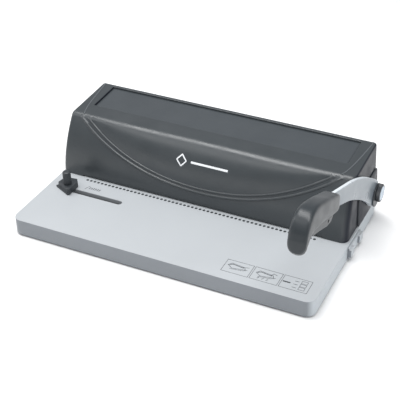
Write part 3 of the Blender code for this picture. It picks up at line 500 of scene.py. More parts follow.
def tray():
    """A shell open below, with a fine rounded top edge, the guide's slot and the drawer's opening.

    The slot's inside has its own finish, darker than the tray's top but painted lighter than its other upright
    sides, as painted light in the slot's shade.
    """
    def ring(inset, height):
        return flat(round_box((-TRAY_HALF + inset, inset), (TRAY_HALF - inset, TRAY_DEPTH - inset),
                              TRAY_CORNER - inset, 12), height)
    edge = [ring(TRAY_EDGE * (1 - math.cos(a)), TRAY_TOP - TRAY_EDGE * (1 - math.sin(a)))
            for a in [math.radians(15 * i) for i in range(7)]]
    rings = [ring(TRAY_WALL, TRAY_TOP - TRAY_WALL), ring(TRAY_WALL, 0.0), ring(0.0006, 0.0),
             ring(0.0, 0.0006)] + edge
    obj = loft(rings)
    lip = slab(capsule(SLOT_LEFT - 0.0022, SLOT_RIGHT + 0.0022, GUIDE.y, SLOT_HALF + 0.0022),
               0.0150, TRAY_TOP - TRAY_WALL / 2)
    bosses = [rod((x, y, 0.0104), 0.0042, 0.0150) for x, y in SCREW_SPOTS]
    combine(obj, [lip] + bosses, "UNION")
    slot = loft([flat(capsule(SLOT_LEFT - g, SLOT_RIGHT + g, GUIDE.y, SLOT_HALF + g), z)
                 for g, z in ((0.0, 0.0100), (0.0, TRAY_TOP - 0.0004), (0.0006, TRAY_TOP + 0.0002))])
    low, high = node_box("chip_drawer")
    drawer = slab(round_box((low.y - 0.0006, low.z - 0.0006), (high.y + 0.0006, high.z + 0.0006),
                            0.0008, 3), TRAY_HALF - 0.006, TRAY_HALF + 0.006, "YZ")
    low, high = node_box("die_plate")
    die = box((low.x - FIT, low.y - FIT, 0.010), (high.x + FIT, high.y + FIT, 0.030))
    pilots = [rod((x, y, 0.0065), 0.0018, 0.012, 12) for x, y in SCREW_SPOTS]
    combine(obj, [slot, drawer, die] + pilots, "DIFFERENCE")
    place(obj, "tray_shell", "tray_grey", "base", ["base_tray"])
    # Painted light: the faces inside the slot get the paler slot finish.
    obj.data.materials.append(FINISHES["slot_grey"])
    for face in obj.data.polygons:
        x, y, z = face.center
        if SLOT_LEFT - 0.001 < x < SLOT_RIGHT + 0.001 and abs(y - GUIDE.y) < SLOT_HALF + 0.001 \
                and z < TRAY_TOP - 0.0001:
            face.material_index = 1


def stroke(bm, start, end, width, height):
    """A thin printed line between two (x, y) points."""
    start, end = Vector(start), Vector(end)
    along = (end - start).normalized() * width / 2
    across = Vector((-along.y, along.x))
    corners = [start - along - across, end + along - across, end + along + across, start - along + across]
    add_loft(bm, [flat([tuple(c) for c in corners], z) for z in (height, height + PRINT_LIFT)])


def hole_marks():
    """The row of round marks printed in front of the punch."""
    bm = bmesh.new()
    first = -MARK_PITCH * (MARK_COUNT - 1) / 2
    for i in range(MARK_COUNT):
        spot = circle((first + MARK_PITCH * i, MARK_Y), MARK_RADIUS, 20)
        add_loft(bm, [flat(spot, z) for z in (TRAY_TOP, TRAY_TOP + PRINT_LIFT)])
    place(loose(bm), "hole_marks", "print_dark", "base")


BOX_LOW, BOX_HIGH = 0.0123, 0.0324
BOX_SIDES = [(0.0735, 0.1040), (0.1060, 0.1370), (0.1390, 0.1700)]
LINE = 0.00050


def polyline(bm, points, width, origin=(0.0, 0.0)):
    for start, end in zip(points, points[1:]):
        stroke(bm, Vector(start) + Vector(origin), Vector(end) + Vector(origin), width, TRAY_TOP)


def rectangle(bm, low, high):
    (x0, y0), (x1, y1) = low, high
    polyline(bm, [(x0, y0), (x1, y0), (x1, y1), (x0, y1), (x0, y0)], LINE)


def little_machine(bm, origin):
    """A pictogram of a low machine with a sheet in front of it."""
    polyline(bm, [(0.000, 0.0085), (0.0035, 0.0125), (0.0185, 0.0105), (0.0205, 0.0070),
                  (0.0060, 0.0045), (0.000, 0.0085)], LINE, origin)
    polyline(bm, [(0.0015, 0.0090), (0.0050, 0.0110), (0.0175, 0.0092)], 0.00075, origin)
    polyline(bm, [(0.0040, 0.0030), (0.0180, 0.0046), (0.0225, 0.0072)], LINE, origin)


def instruction_boxes():
    """Three printed boxes with plain pictograms near the tray's front right corner."""
    bm = bmesh.new()
    dark = bmesh.new()
    for left, right in BOX_SIDES:
        rectangle(bm, (left, BOX_LOW), (right, BOX_HIGH))
    for left, _ in BOX_SIDES[:2]:
        little_machine(dark, (left + 0.0035, BOX_LOW + 0.0030))
    left = BOX_SIDES[0][0]
    polyline(bm, [(left + 0.0200, BOX_LOW + 0.0130), (left + 0.0265, BOX_LOW + 0.0148)], LINE)
    left = BOX_SIDES[1][0]
    polyline(dark, [(left + 0.0200, BOX_LOW + 0.0125), (left + 0.0215, BOX_LOW + 0.0165),
                    (left + 0.0260, BOX_LOW + 0.0150)], 0.0005)
    for x in (0.0080, 0.0130, 0.0180):
        polyline(dark, [(left + x, BOX_LOW + 0.0030), (left + x + 0.0014, BOX_LOW + 0.0052)], 0.0006)
    left = BOX_SIDES[2][0]
    polyline(dark, [(left + 0.0022, BOX_LOW + 0.0100), (left + 0.0088, BOX_LOW + 0.0100)], 0.0018)
    for row in range(3):
        y = BOX_LOW + 0.0030 + 0.0052 * row
        polyline(dark, [(left + 0.0135, y + 0.0015), (left + 0.0175, y + 0.0015)], 0.0006)
        rectangle(bm, (left + 0.0205, y), (left + 0.0270, y + 0.0040))
    place(loose(bm), "instruction_boxes", "print_grey", "base")
    place(loose(dark), "instruction_pictograms", "print_dark", "base")


def guide_ticks():
    """A slanted tick and a short scale beside the edge guide."""
    bm = bmesh.new()
    polyline(bm, [(-0.1380, 0.0855), (-0.1352, 0.0930)], LINE)
    for i in range(6):
        x = -0.1335 + 0.0026 * i
        polyline(bm, [(x, 0.0876), (x + 0.0007, 0.0906)], 0.0009)
    place(loose(bm), "guide_ticks", "print_dark", "base")


# ---------------------------------------------------------------- housing

def front_y(z):
    return FRONT_FOOT + FRONT_CURVE * (z - TRAY_TOP) ** 2


def rear_y(z):
    return REAR_FOOT - REAR_LEAN * (z - TRAY_TOP) / (TOP_BACK - TRAY_TOP)


def end_half(z):
    return END_HALF - END_DRAFT * (z - TRAY_TOP)


def ridge_line(ridge, x):
    """The height of a ridge's line on the front face."""
    lowest, rise, span = ridge[:3]
    return lowest + rise * (abs(x) / span) ** BRANCH_POWER


def ridge_shape(ridge, x, z):
    """How far a ridge stands out at a point of the front face; it sinks in just below the brow."""
    rise, span, width, height = ridge[1:]
    slope = BRANCH_POWER * rise / span * (abs(x) / span) ** (BRANCH_POWER - 1)
    away = (z - ridge_line(ridge, x)) / math.sqrt(1 + slope * slope) / (width / 2)
    fade = min(1.0, max(0.25, (BROW - z) / 0.0045))
    return height * fade * max(0.0, 1 - away * away) ** 0.75


def relief(x, z):
    """The crescent's relief: two ridges, and a bulge above the inner one that falls to the brow."""
    inner = ridge_line(INNER_RIDGE, x)
    chord = BROW - inner
    bulge = 0.0
    if z > inner and chord > 0:
        t = min(1.0, (z - inner) / chord)
        bulge = BULGE * min(1.0, chord / 0.040) * (t - t ** 4) / 0.4725
    return max(ridge_shape(OUTER_RIDGE, x, z), ridge_shape(INNER_RIDGE, x, z) + bulge)


TOP_BACK = 0.0948
TOP_RISE = (TOP_BACK - BROW) / (REAR_FOOT - REAR_LEAN - front_y(BROW))
FRONT_FILLET = 0.0040
EDGE_FILLET = 0.0022
CORNERS = {"front_right": 0.0085, "rear_right": 0.0030, "rear_left": 0.0030, "front_left": 0.0035}


def stations():
    """Places round the housing's plan: (part, share along it), anticlockwise from the front left."""
    fine = [0.148 + 0.00075 * i for i in range(1, 30)]
    columns = [-x for x in fine[::-1]] + [-0.148 + 0.148 * i / 98 for i in range(197)] + fine
    places = [("front", x) for x in columns]
    for part, cells in (("front_right", 8), ("right", 26), ("rear_right", 5), ("rear", 60),
                        ("rear_left", 5), ("left", 26), ("front_left", 8)):
        first = 0 if part in CORNERS else 1
        places += [(part, i / cells) for i in range(first, cells + 1 - first)]
    return places


def depth_share(part, share):
    """0 at the housing's front and 1 at its rear."""
    if part == "right":
        return share
    if part == "left":
        return 1 - share
    return 1.0 if part.startswith("rear") else 0.0


def plan_point(part, share, half, front, rear, shrink=0.0):
    """A place on a round-cornered rectangle: x is +-half, y runs from front to rear."""
    radius = {name: max(0.0004, r - shrink) for name, r in CORNERS.items()}
    if part == "front":
        return share, front
    if part in CORNERS:
        r = radius[part]
        right = part.endswith("right")
        centre = (half - r if right else r - half, rear - r if part.startswith("rear") else front + r)
        start = {"front_right": -90, "rear_right": 0, "rear_left": 90, "front_left": 180}[part]
        angle = math.radians(start + 90 * share)
        return centre[0] + r * math.cos(angle), centre[1] + r * math.sin(angle)
    if part == "right":
        return half, front + radius["front_right"] + share * (
            rear - front - radius["front_right"] - radius["rear_right"])
    if part == "left":
        return -half, rear - radius["rear_left"] - share * (
            rear - front - radius["front_left"] - radius["rear_left"])
    reach = half - radius["rear_right"]
    return reach * (1 - 2 * share), rear


def wall_ring(places, heights, offset, with_relief):
    """One level of the upright walls; heights(x) gives the level's share of the full height."""
    ring = []
    low = TRAY_TOP + FIT
    for part, share in places:
        back = depth_share(part, share)
        x_seen = share if part == "front" else END_HALF
        z = low + (BROW + (TOP_BACK - BROW) * back - offset - low) * heights(x_seen)
        x, y = plan_point(part, share, end_half(z) - offset, front_y(z) + offset * 1.15,
                          rear_y(z) - offset, offset)
        if part == "front" and with_relief:
            lean = 2 * FRONT_CURVE * (z - TRAY_TOP)
            out = relief(x, z) / math.sqrt(1 + lean * lean)
            y -= out
            z += out * lean
        ring.append(Vector((x, y, z)))
    return ring


def level_rows():
    """The rows of the front face as functions of x, packed where the ridges pass."""
    low = TRAY_TOP + FIT
    top = BROW - FRONT_FILLET * 0.82
    full = BROW - low

    def band(ridge, margin):
        def centre(x):
            return min(ridge_line(ridge, x), top - margin)
        return centre

    outer = band(OUTER_RIDGE, 0.0052)
    inner = band(INNER_RIDGE, 0.0017)
    rows = []

    def add(height):
        rows.append(lambda x: (height(x) - low) / full)

    for i in range(18):
        add(lambda x, i=i: low + (outer(x) - 0.0017 - low) * i / 18)
    for i in range(11):
        add(lambda x, i=i: outer(x) - 0.0017 + 0.0034 * i / 10)
    for i in range(9):
        add(lambda x, i=i: inner(x) - 0.0013 + 0.0026 * i / 8)
    for i in range(1, 19):
        add(lambda x, i=i: inner(x) + 0.0013 + (top - inner(x) - 0.0013) * i / 18)
    return rows


def crease_x(y):
    """The fine line that runs back along each end of the housing's top."""
    return 0.1600 + 0.0146 * max(0.0, (y - 0.1337) / 0.0742) ** 0.52


def top_height(y):
    return BROW + TOP_RISE * (y - front_y(BROW))


def top_ring(places, inset, drop=0.0):
    """A level of the top's rounded edge: the plan drawn in by an inset."""
    ring = []
    for part, share in places:
        back = depth_share(part, share)
        z = BROW + (TOP_BACK - BROW) * back
        side = inset * EDGE_FILLET / FRONT_FILLET
        x, y = plan_point(part, share, end_half(z) - side, front_y(BROW) + inset, rear_y(TOP_BACK) - side,
                          inset if part.startswith("front") else side)
        ring.append(Vector((x, y, top_height(y) - drop)))
    return ring


def ring_between(first, last, share):
    return [a.lerp(b, share) for a, b in zip(first, last)]


def opening_ring(places, grow, z_offset):
    """The places round the top's opening that face the housing's outer places."""
    ring = []
    half = PANEL_HALF + grow
    front, rear = PANEL_FRONT - grow, PANEL_BACK + grow
    widest = max(share for part, share in places if part == "front")
    for part, share in places:
        if part == "front":
            x = half * share / widest
        elif part == "rear":
            x = half * (1 - 2 * share)
        else:
            x = half if part.endswith("right") else -half
        y = front + (rear - front) * depth_share(part, share)
        ring.append(Vector((x, y, top_height(y) + z_offset)))
    return ring


def housing():
    """The charcoal cover: walls with the crescent's relief, a rounded brow and the top's opening."""
    places = stations()
    rows = level_rows()
    outer = [wall_ring(places, row, 0.0, True) for row in rows]
    shoulder = outer[-1]
    corner = top_ring(places, 0.0)
    ledge = top_ring(places, FRONT_FILLET)
    fillet = []
    for i in range(1, 9):
        t = i / 8
        fillet.append([s * (1 - t) ** 2 + c * 2 * t * (1 - t) + e * t ** 2
                       for s, c, e in zip(shoulder, corner, ledge)])
    rim = opening_ring(places, 0.0006, 0.0)
    margin = [ring_between(ledge, rim, t) for t in (0.12, 0.3, 0.45, 0.6, 0.75, 0.9)]
    edge = [rim, opening_ring(places, 0.0002, -0.0002),
            opening_ring(places, 0.0, -0.0006), opening_ring(places, 0.0, -HOUSE_WALL)]
    inner_top = [ring_between(opening_ring(places, 0.0, -HOUSE_WALL),
                              top_ring(places, HOUSE_WALL + 0.002, HOUSE_WALL), t) for t in (0.5, 1.0)]
    inner = [wall_ring(places, lambda x, i=i: i / 10, HOUSE_WALL, False) for i in range(9, -1, -1)]
    obj = loft(outer + fillet + margin + edge + inner_top + inner, wrap=True)
    throat = box((-THROAT_HALF, 0.100, 0.010), (THROAT_HALF, 0.115, TRAY_TOP + THROAT_HEIGHT))
    shaft_hole = rod((END_HALF, PIVOT.y, PIVOT.z), 0.0080, 0.012, 40, "X")
    screw_holes = [rod((x, REAR_FOOT, COVER_SCREW_Z), 0.0018, 0.012, 16, "Y")
                   for x in COVER_SCREWS]
    combine(obj, [throat, shaft_hole] + screw_holes, "DIFFERENCE")
    # The right end takes the housing finish's painted shade.
    place(obj, "housing_shell", "housing_charcoal", "base", ["housing_cover"], 38.0)


def bead(line, width, height, name):
    """A fine raised line on the housing's top, along (x, y) points, coloured lighter than the housing as a painted
    highlight.
    """
    rings = []
    for before, here, after in zip([line[0]] + line[:-1], line, line[1:] + [line[-1]]):
        along = (Vector(after) - Vector(before)).normalized()
        across = Vector((-along.y, along.x, 0.0)) * width / 2
        centre = Vector((here[0], here[1], top_height(here[1])))
        up = Vector((0.0, 0.0, height))
        rings.append([centre - across - up, centre + across - up, centre + across,
                      centre + across * 0.5 + up, centre - across * 0.5 + up, centre - across])
    # Painted highlight: the line is housing plastic given a lighter grey.
    place(loft(rings), name, "crease_grey", "base", angle=60.0, slot="housing_charcoal")


def creases():
    """The fine lines along the housing's two ends and its rear edge, each with a painted highlight."""
    for side, name in ((-1, "left_crease"), (1, "right_crease")):
        depths = [CREASE_FRONT + (CREASE_BACK - CREASE_FRONT) * i / 40 for i in range(41)]
        line = [(side * crease_x(y), y) for y in depths]
        bead(line, 0.0014, 0.0006, name)
    bead([(-0.1745 + 0.349 * i / 40, 0.2062) for i in range(41)], 0.0008, 0.00025, "rear_crease")


def top_panel():
    """The recessed panel, dished a little and with a fine rounded rim."""
    low, high = (-PANEL_HALF + FIT, PANEL_FRONT + FIT), (PANEL_HALF - FIT, PANEL_BACK - FIT)
    rings = []
    for inset, drop in ((0.0, 0.0014), (0.0, 0.0003), (0.0003, 0.0), (0.0030, 0.0), (0.0080, 0.0002)):
        outline = round_box((low[0] + inset, low[1] + inset), (high[0] - inset, high[1] - inset),
                            0.0010 + inset * 0.3, 4)
        rings.append([Vector((x, y, top_height(y) - PANEL_DROP - drop)) for x, y in outline])
    place(loft(rings), "top_panel_face", "panel_charcoal", "base",
          ["top_panel"], 60.0)


def side_cover():
    """The pad between the housing's end and the arm, with soft edges and the shaft's hole."""
    low, top, front = TRAY_TOP + FIT, 0.0620, 0.1440
    outline = (arc((front + 0.0080, top - 0.0080), 0.0080, 90, 180, 8)
               + [(front, z) for z in (0.0460, 0.0370, 0.0280)]
               + arc((front + 0.0020, low + 0.0020), 0.0020, 180, 270, 4)
               + [(REAR_FOOT, low)] + [(rear_y(z), z) for z in (0.0300, 0.0400, 0.0500)]
               + arc((rear_y(top) - 0.0040, top - 0.0040), 0.0040, 0, 90, 5))[::-1]
    rings = []
    for grow, lift in ((0.0, None), (0.0, -0.0005), (-0.00015, -0.00015), (-0.0005, 0.0)):
        points = grown(outline, -grow)
        rings.append([Vector((end_half(z) + FIT if lift is None
                              else SIDE_COVER_FACE - SIDE_COVER_DRAFT * (z - TRAY_TOP) + lift, y, z))
                      for y, z in points])
    obj = loft(rings)
    hole = rod((SIDE_COVER_FACE, PIVOT.y, PIVOT.z), 0.0066, 0.012, 40, "X")
    combine(obj, [hole], "DIFFERENCE")
    # Its faces turned to +X take the housing finish's painted shade.
    place(obj, "side_cover_pad", "housing_charcoal", "base", ["right_side_cover"])


def front_point(x, z, height):
    """A point of the front face, lifted from it along its normal."""
    lean = 2 * FRONT_CURVE * (z - TRAY_TOP)
    out = (relief(x, z) + height) / math.sqrt(1 + lean * lean)
    return Vector((x, front_y(z) - out, z + out * lean))


def front_band(bm, centre_line, width, closed=False):
    """A thin raised band along (x, z) points of the front face."""
    count = len(centre_line)
    rings = []
    for i, point in enumerate(centre_line):
        before = Vector(centre_line[i - 1] if closed or i else point)
        after = Vector(centre_line[(i + 1) % count] if closed or i < count - 1 else point)
        along = (after - before).normalized()
        across = Vector((-along.y, along.x)) * width / 2
        ring = []
        for side, height in ((-1, -PRINT_LIFT), (1, -PRINT_LIFT), (1, PRINT_LIFT), (-1, PRINT_LIFT)):
            spot = Vector(point) + across * side
            ring.append(front_point(spot.x, spot.y, height))
        rings.append(ring)
    add_loft(bm, rings, wrap=closed)


def front_mark():
    """A plain decoration: an open lozenge and one long stripe."""
    x, z = MARK_CENTRE
    bm = bmesh.new()
    corners = [(x, z - MARK_REACH), (x + MARK_REACH, z), (x, z + MARK_REACH), (x - MARK_REACH, z)]
    sides = zip(corners, corners[1:] + corners[:1])
    lozenge = [tuple(Vector(start).lerp(Vector(end), i / 8)) for start, end in sides for i in range(8)]
    front_band(bm, lozenge, 0.0014, closed=True)
    stripe = [(x + STRIPE_START + STRIPE_LENGTH * i / 30, z) for i in range(31)]
    front_band(bm, stripe, 0.0022)
    place(loose(bm), "front_mark", "print_white", "base")


# ---------------------------------------------------------------- lever

def smooth_line(points, steps):
    """Points on a smooth line through the given ones, as tuples of any length."""
    rows = [Vector(point) for point in points]
    rows = [rows[0] * 2 - rows[1]] + rows + [rows[-1] * 2 - rows[-2]]
    out = []
    for a, b, c, d in zip(rows, rows[1:], rows[2:], rows[3:]):
        for i in range(steps):
            t = i / steps
            out.append((b * 2 + (c - a) * t + (a * 2 - b * 5 + c * 4 - d) * t ** 2
                        + (b * 3 - a - c * 3 + d) * t ** 3) / 2)
    return out + [rows[-2]]


ARM_UPPER = [                      # the arm's upper edge (y, z), from the pivot to the grip
    (0.1889, 0.0577), (0.1660, 0.0740), (0.1343, 0.0940), (0.0970, 0.1123), (0.0630, 0.1254),
    (0.0300, 0.1378),
]
ARM_LOWER = [                      # its lower edge, from the grip to the pivot
    (0.0370, 0.1157), (0.0555, 0.1081), (0.0845, 0.0949), (0.1103, 0.0800), (0.1340, 0.0643),
    (0.1554, 0.0477), (0.1727, 0.0320),
]
ARM_ROOT = [                       # round the pivot, from the lower edge to the upper one
    (0.1780, 0.0288), (0.1840, 0.0286), (0.1900, 0.0310), (0.1942, 0.0360), (0.1954, 0.0410),
    (0.1949, 0.0450), (0.1922, 0.0520), (0.1905, 0.0565),
]


def arm_outline():
    """The arm's side: its lower edge, its root, its upper edge, and the tang that enters the grip."""
    along = Vector((math.cos(TANG_HEADING), math.sin(TANG_HEADING)))
    across = Vector((-along.y, along.x)) * TANG_HALF
    upper, lower = Vector(ARM_UPPER[-1]), Vector(ARM_LOWER[0])
    middle = (upper + lower) / 2
    slant = (upper - lower).normalized()
    reach = slant * TANG_HALF / abs(slant.x * along.y - slant.y * along.x)
    tip = middle + along * TANG_LENGTH
    tang = [middle + reach, tip - across, tip + across, middle - reach]
    edges = smooth_line(ARM_LOWER, 6) + smooth_line(ARM_ROOT, 3) + smooth_line(ARM_UPPER, 6)
    return [tuple(point) for point in edges + tang]


def lever_arm():
    """The flat, bowed arm with softly rounded rims."""
    obj = slab(arm_outline(), ARM_LOW.x, ARM_HIGH.x, "YZ", 0.0006)
    combine(obj, [rod((ARM_LOW.x, PIVOT.y, PIVOT.z), SHAFT_BORE, 0.030, 40, "X")], "DIFFERENCE")
    place(obj, "arm_plate", "arm_silver", "lever", ["lever_arm"], 25.0)
    for face in obj.data.polygons:
        if abs(face.normal.x) > 0.99:
            face.use_smooth = False


GRIP_SECTIONS = [                  # upper edge (y, z), lower edge (y, z), half width
    (0.0245, 0.1425, 0.0225, 0.1195, 0.0096),
    (0.0090, 0.1492, 0.0030, 0.1264, 0.0098),
    (-0.0160, 0.1598, -0.0220, 0.1345, 0.0098),
    (-0.0385, 0.1665, -0.0380, 0.1380, 0.0098),
    (-0.0520, 0.1640, -0.0475, 0.1385, 0.0098),
    (-0.0605, 0.1550, -0.0545, 0.1370, 0.0098),
    (-0.0645, 0.1440, -0.0590, 0.1350, 0.0095),
]
GRIP_NOSE = (-0.0668, 0.1320, -0.0635, 0.1280, 0.0095)
GRIP_REAR = (0.0360, 0.1345, 0.0365, 0.1170, 0.0096)
GRIP_RING = 64                     # points round a section
GRIP_WEB = [                       # the web's side (y, z), anticlockwise
    (0.0330, 0.1190), (0.0320, 0.1260), (0.0200, 0.1350), (-0.0350, 0.1440), (-0.0350, 0.1302),
    (-0.0150, 0.1228), (0.0080, 0.1136), (0.0172, 0.1118), (0.0222, 0.1135), (0.0262, 0.1172),
]


def grip_ring(section):
    """A rounded rectangle between a section's two edges, with a crisp upper corner at the right."""
    upper, lower = Vector(section[0:2]), Vector(section[2:4])
    middle = (upper + lower) / 2
    half = (upper - lower) / 2
    ring = []
    for i in range(GRIP_RING):
        angle = 2 * math.pi * (i + 0.5) / GRIP_RING
        power = 0.36 if angle < math.pi / 2 else 0.62
        across = math.copysign(abs(math.cos(angle)) ** power, math.cos(angle))
        along = math.copysign(abs(math.sin(angle)) ** power, math.sin(angle))
        y, z = middle + half * along
        ring.append(Vector((GRIP_X + section[4] * across, y, z)))
    return ring


def grip_end(start, end, steps):
    """Sections that close an end: from one section toward another, narrowing like a dome."""
    sections = []
    for i in range(1, steps + 1):
        turn = math.pi / 2 * i / (steps + 0.4)
        section = Vector(start).lerp(Vector(end), math.sin(turn))
        section[4] *= math.cos(turn) ** 0.7
        sections.append(section)
    return sections


def lever_grip():
    """A tapering grip that bends down at its nose, with a web inside the bend and the arm's socket."""
    body = smooth_line(GRIP_SECTIONS, 7)
    rings = grip_end(body[0], GRIP_REAR, 8)[::-1] + body + grip_end(body[-1], GRIP_NOSE, 12)
    obj = loft([grip_ring(section) for section in rings])
    web = slab(GRIP_WEB, GRIP_X - WEB_HALF, GRIP_X + WEB_HALF, "YZ")
    bevelled(web, 0.0016, 4, 20.0)
    combine(obj, [web], "UNION")
    socket = slab(grown(arm_outline(), FIT * 0.6), ARM_LOW.x - FIT, ARM_HIGH.x + FIT, "YZ")
    dimple = rod((GRIP_X + WEB_HALF, 0.0105, 0.1185), 0.0019, 0.0030, 24, "X")
    combine(obj, [socket, dimple], "DIFFERENCE")
    place(obj, "grip_sleeve", "grip_rubber", "lever", ["lever_grip"], 40.0)


def knurl(count, depth, rows):
    """Grooves round a knob, on some rows of its profile only."""
    def wave(angle, index):
        return 1 - depth * (0.5 + 0.5 * math.cos(count * angle)) if index in rows else 1.0
    return wave


def fixing_knob():
    """A dark clamp plate, a knurled rim and a bright turned cap."""
    low, high = node_box("hub_flange")
    middle = ((low.y + high.y) / 2, (low.z + high.z) / 2)
    plate = slab(circle(middle, CLAMP_RADIUS, 72), low.x, high.x, "YZ", 0.0003)
    combine(plate, [rod((low.x, PIVOT.y, PIVOT.z), SHAFT_BORE, 0.010, 40, "X")], "DIFFERENCE")
    place(plate, "hub_clamp", "knob_black", "lever", ["hub_flange"])
    low, high = KNOB_LOW.x, KNOB_HIGH.x
    radius = KNOB_HIGH.z - PIVOT.z
    rim = [(0.0054, low + 0.0028), (0.0054, low), (radius - 0.0009, low), (radius, low + 0.0006),
           (radius, high - 0.0009), (radius - 0.0007, high - 0.0002), (radius - 0.0012, high),
           (0.0087, high), (0.0087, high - 0.0013)]
    obj = turned(rim, (0, PIVOT.y, PIVOT.z), "X", 288, knurl(48, 0.045, (3, 4)))
    place(obj, "knob_rim", "knob_black", "fixing_knob", ["fixing_knob"])
    face = node_box("fixing_knob_cap")[1].x
    cap = [(0.0084, high - 0.0010), (0.0084, face - 0.0004), (0.0080, face - 0.0001), (0.0077, face)]
    for i in range(6):
        r = 0.0070 - 0.0011 * i
        cap += [(r, face), (r - 0.0002, face - 0.00012), (r - 0.0005, face - 0.00012), (r - 0.0007, face)]
    place(turned(cap, (0, PIVOT.y, PIVOT.z), "X", 72), "knob_cap", "knob_silver",
          "fixing_knob", ["fixing_knob_cap"])


# ---------------------------------------------------------------- springs, drawer and edge guide

SPRING_WIRE = 0.00047              # the wire's radius
SPRING_TURNS = 4


def return_springs():
    """Coil springs round the guide posts, squeezed between the guide plate and the punch bar."""
    for node in ("left_return_spring", "right_return_spring"):
        low, high = node_box(node)
        x, y, _ = node_middle(node)
        foot = Vector((x, y, low.z))
        radius = (high.x - low.x) / 2 - SPRING_WIRE
        rings = []
        for i in range(24 * SPRING_TURNS + 1):
            turn = math.radians(15 * i)
            outward = Vector((math.cos(turn), math.sin(turn), 0.0))
            share = i / (24 * SPRING_TURNS)
            rise = SPRING_WIRE + (high.z - low.z - 2 * SPRING_WIRE) * share
            centre = foot + outward * radius + Vector((0.0, 0.0, rise))
            rings.append([centre + outward * u + Vector((0.0, 0.0, v))
                          for u, v in circle((0.0, 0.0), SPRING_WIRE, 10)])
        spring = place(loft(rings), node + "_coil", "spring_steel", "base",
                       [node], 60.0)
        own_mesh(spring)


def drawer():
    """The long open drawer with round inner corners, and its handle with two ears."""
    low, high = node_box("chip_drawer")
    wall = 0.0012

    def ring(inset, height):
        return flat(round_box((low.x + inset, low.y + inset), (high.x - inset, high.y - inset),
                              0.0022 - min(inset, 0.0012), 6), height)
    rings = [ring(0.0006, low.z), ring(0.0, low.z + 0.0006), ring(0.0, high.z - 0.0002),
             ring(0.0003, high.z), ring(wall - 0.0003, high.z), ring(wall, high.z - 0.0003),
             ring(wall, low.z + wall + 0.0008), ring(wall + 0.0008, low.z + wall)]
    place(loft(rings), "drawer_tray", "drawer_grey", "drawer", ["chip_drawer"])
    low, high = node_box("drawer_handle")
    face = TRAY_HALF + 0.0020
    obj = slab(round_box((low.y, low.z), (high.y, high.z), 0.0010, 4), low.x, face, "YZ")
    ears = [slab(round_box((y, 0.0048), (y + 0.0110, 0.0150), 0.0012, 4), face - 0.0006, high.x,
                 "YZ") for y in (low.y, high.y - 0.0110)]
    combine(obj, ears, "UNION")
    bevelled(obj, 0.0005, 3, 50.0)
    # It takes the tray's finish, with that finish's painted light and shade.
    place(obj, "drawer_pull", "tray_grey", "drawer", ["drawer_handle"], slot="drawer_grey")


def edge_guide():
    """The block with its pointed toe and fence, and the fluted knob that clamps it."""
    fence = 0.0085
    body = [(fence, -0.0100), (fence, 0.0085), (0.0050, 0.0130), (-0.0070, 0.0120),
            (-0.0110, 0.0060), (-0.0120, -0.0015), (0.0060, -0.0108)]
    foot = [(fence, -0.0108), (fence, 0.0060), (-0.0120, 0.0050), (-0.0155, -0.0014), (0.0060, -0.0118)]
    low = TRAY_TOP + FIT
    block = slab([(GUIDE.x + x, GUIDE.y + y) for x, y in body], low, GUIDE.z)
    toe = slab([(GUIDE.x + x, GUIDE.y + y) for x, y in foot], low, low + 0.0020)
    combine(block, [toe], "UNION")
    bevelled(block, 0.0007, 3, 30.0)
    hole = rod((GUIDE.x, GUIDE.y, GUIDE.z), 0.0029, 0.03, 32)
    combine(block, [hole], "DIFFERENCE")
    place(block, "guide_block", "guide_black", "edge_guide", ["edge_guide_block"])
    low, high = node_box("edge_guide_knob")
    radius = (high.x - low.x) / 2
    profile = [(0.0029, GUIDE.z + 0.0080), (0.0029, low.z), (radius - 0.0010, low.z),
               (radius, low.z + 0.0010), (radius, low.z + 0.0040), (radius, high.z - 0.0016),
               (radius - 0.0004, high.z - 0.0007), (radius - 0.0012, high.z - 0.0002),
               (radius - 0.0020, high.z), (0.0012, high.z - 0.0003)]
    wave = knurl(16, 0.10, (3, 4, 5))
    obj = turned(profile, (GUIDE.x, GUIDE.y, 0.0), "Z", 192, wave)
    place(obj, "guide_knob", "guide_black", "guide_knob", ["edge_guide_knob"])


# ---------------------------------------------------------------- underside and rear

def cross_screw(name, node, centre, axis, head_radius, head, length):
    """A pan-head screw with a cross recess; its head's outer face is at the centre point."""
    dome = [(head_radius * math.cos(math.radians(a)), head * 0.55 * (1 - math.sin(math.radians(a))))
            for a in (80, 60, 40, 20, 0)]
    profile = dome + [(head_radius, head), (0.0013, head), (0.0013, head + length - 0.001),
                      (0.0005, head + length)]
    obj = turned(profile, centre, axis, 40)
    cutters = []
    for wide, deep in ((0.0032, 0.0006), (0.0006, 0.0032)):
        x, y, z = centre
        if axis == "Z":
            cutters.append(box((x - wide / 2, y - deep / 2, z - 0.001),
                               (x + wide / 2, y + deep / 2, z + 0.0008)))
        else:
            cutters.append(box((x - wide / 2, y - 0.0008, z - deep / 2),
                               (x + wide / 2, y + 0.001, z + deep / 2)))
    combine(obj, cutters, "DIFFERENCE")
    place(obj, name, "zinc_steel", "base", [node])


def fasteners():
    """The six screws under the base and the two in the cover's rear wall."""
    for number in range(1, 7):
        node = f"base_screw_{number}"
        x, y, _ = node_middle(node)
        centre = (x, y, node_box(node)[0].z)
        cross_screw(f"base_fixing_{number}", node, centre, "Z", 0.0031, 0.0010, 0.0095)
    for side in ("left", "right"):
        node = f"cover_screw_{side}"
        x, _, z = node_middle(node)
        centre = (x, node_box(node)[1].y, z)
        cross_screw(f"cover_fixing_{side}", node, centre, "-Y", 0.0030, 0.0014, 0.0070)


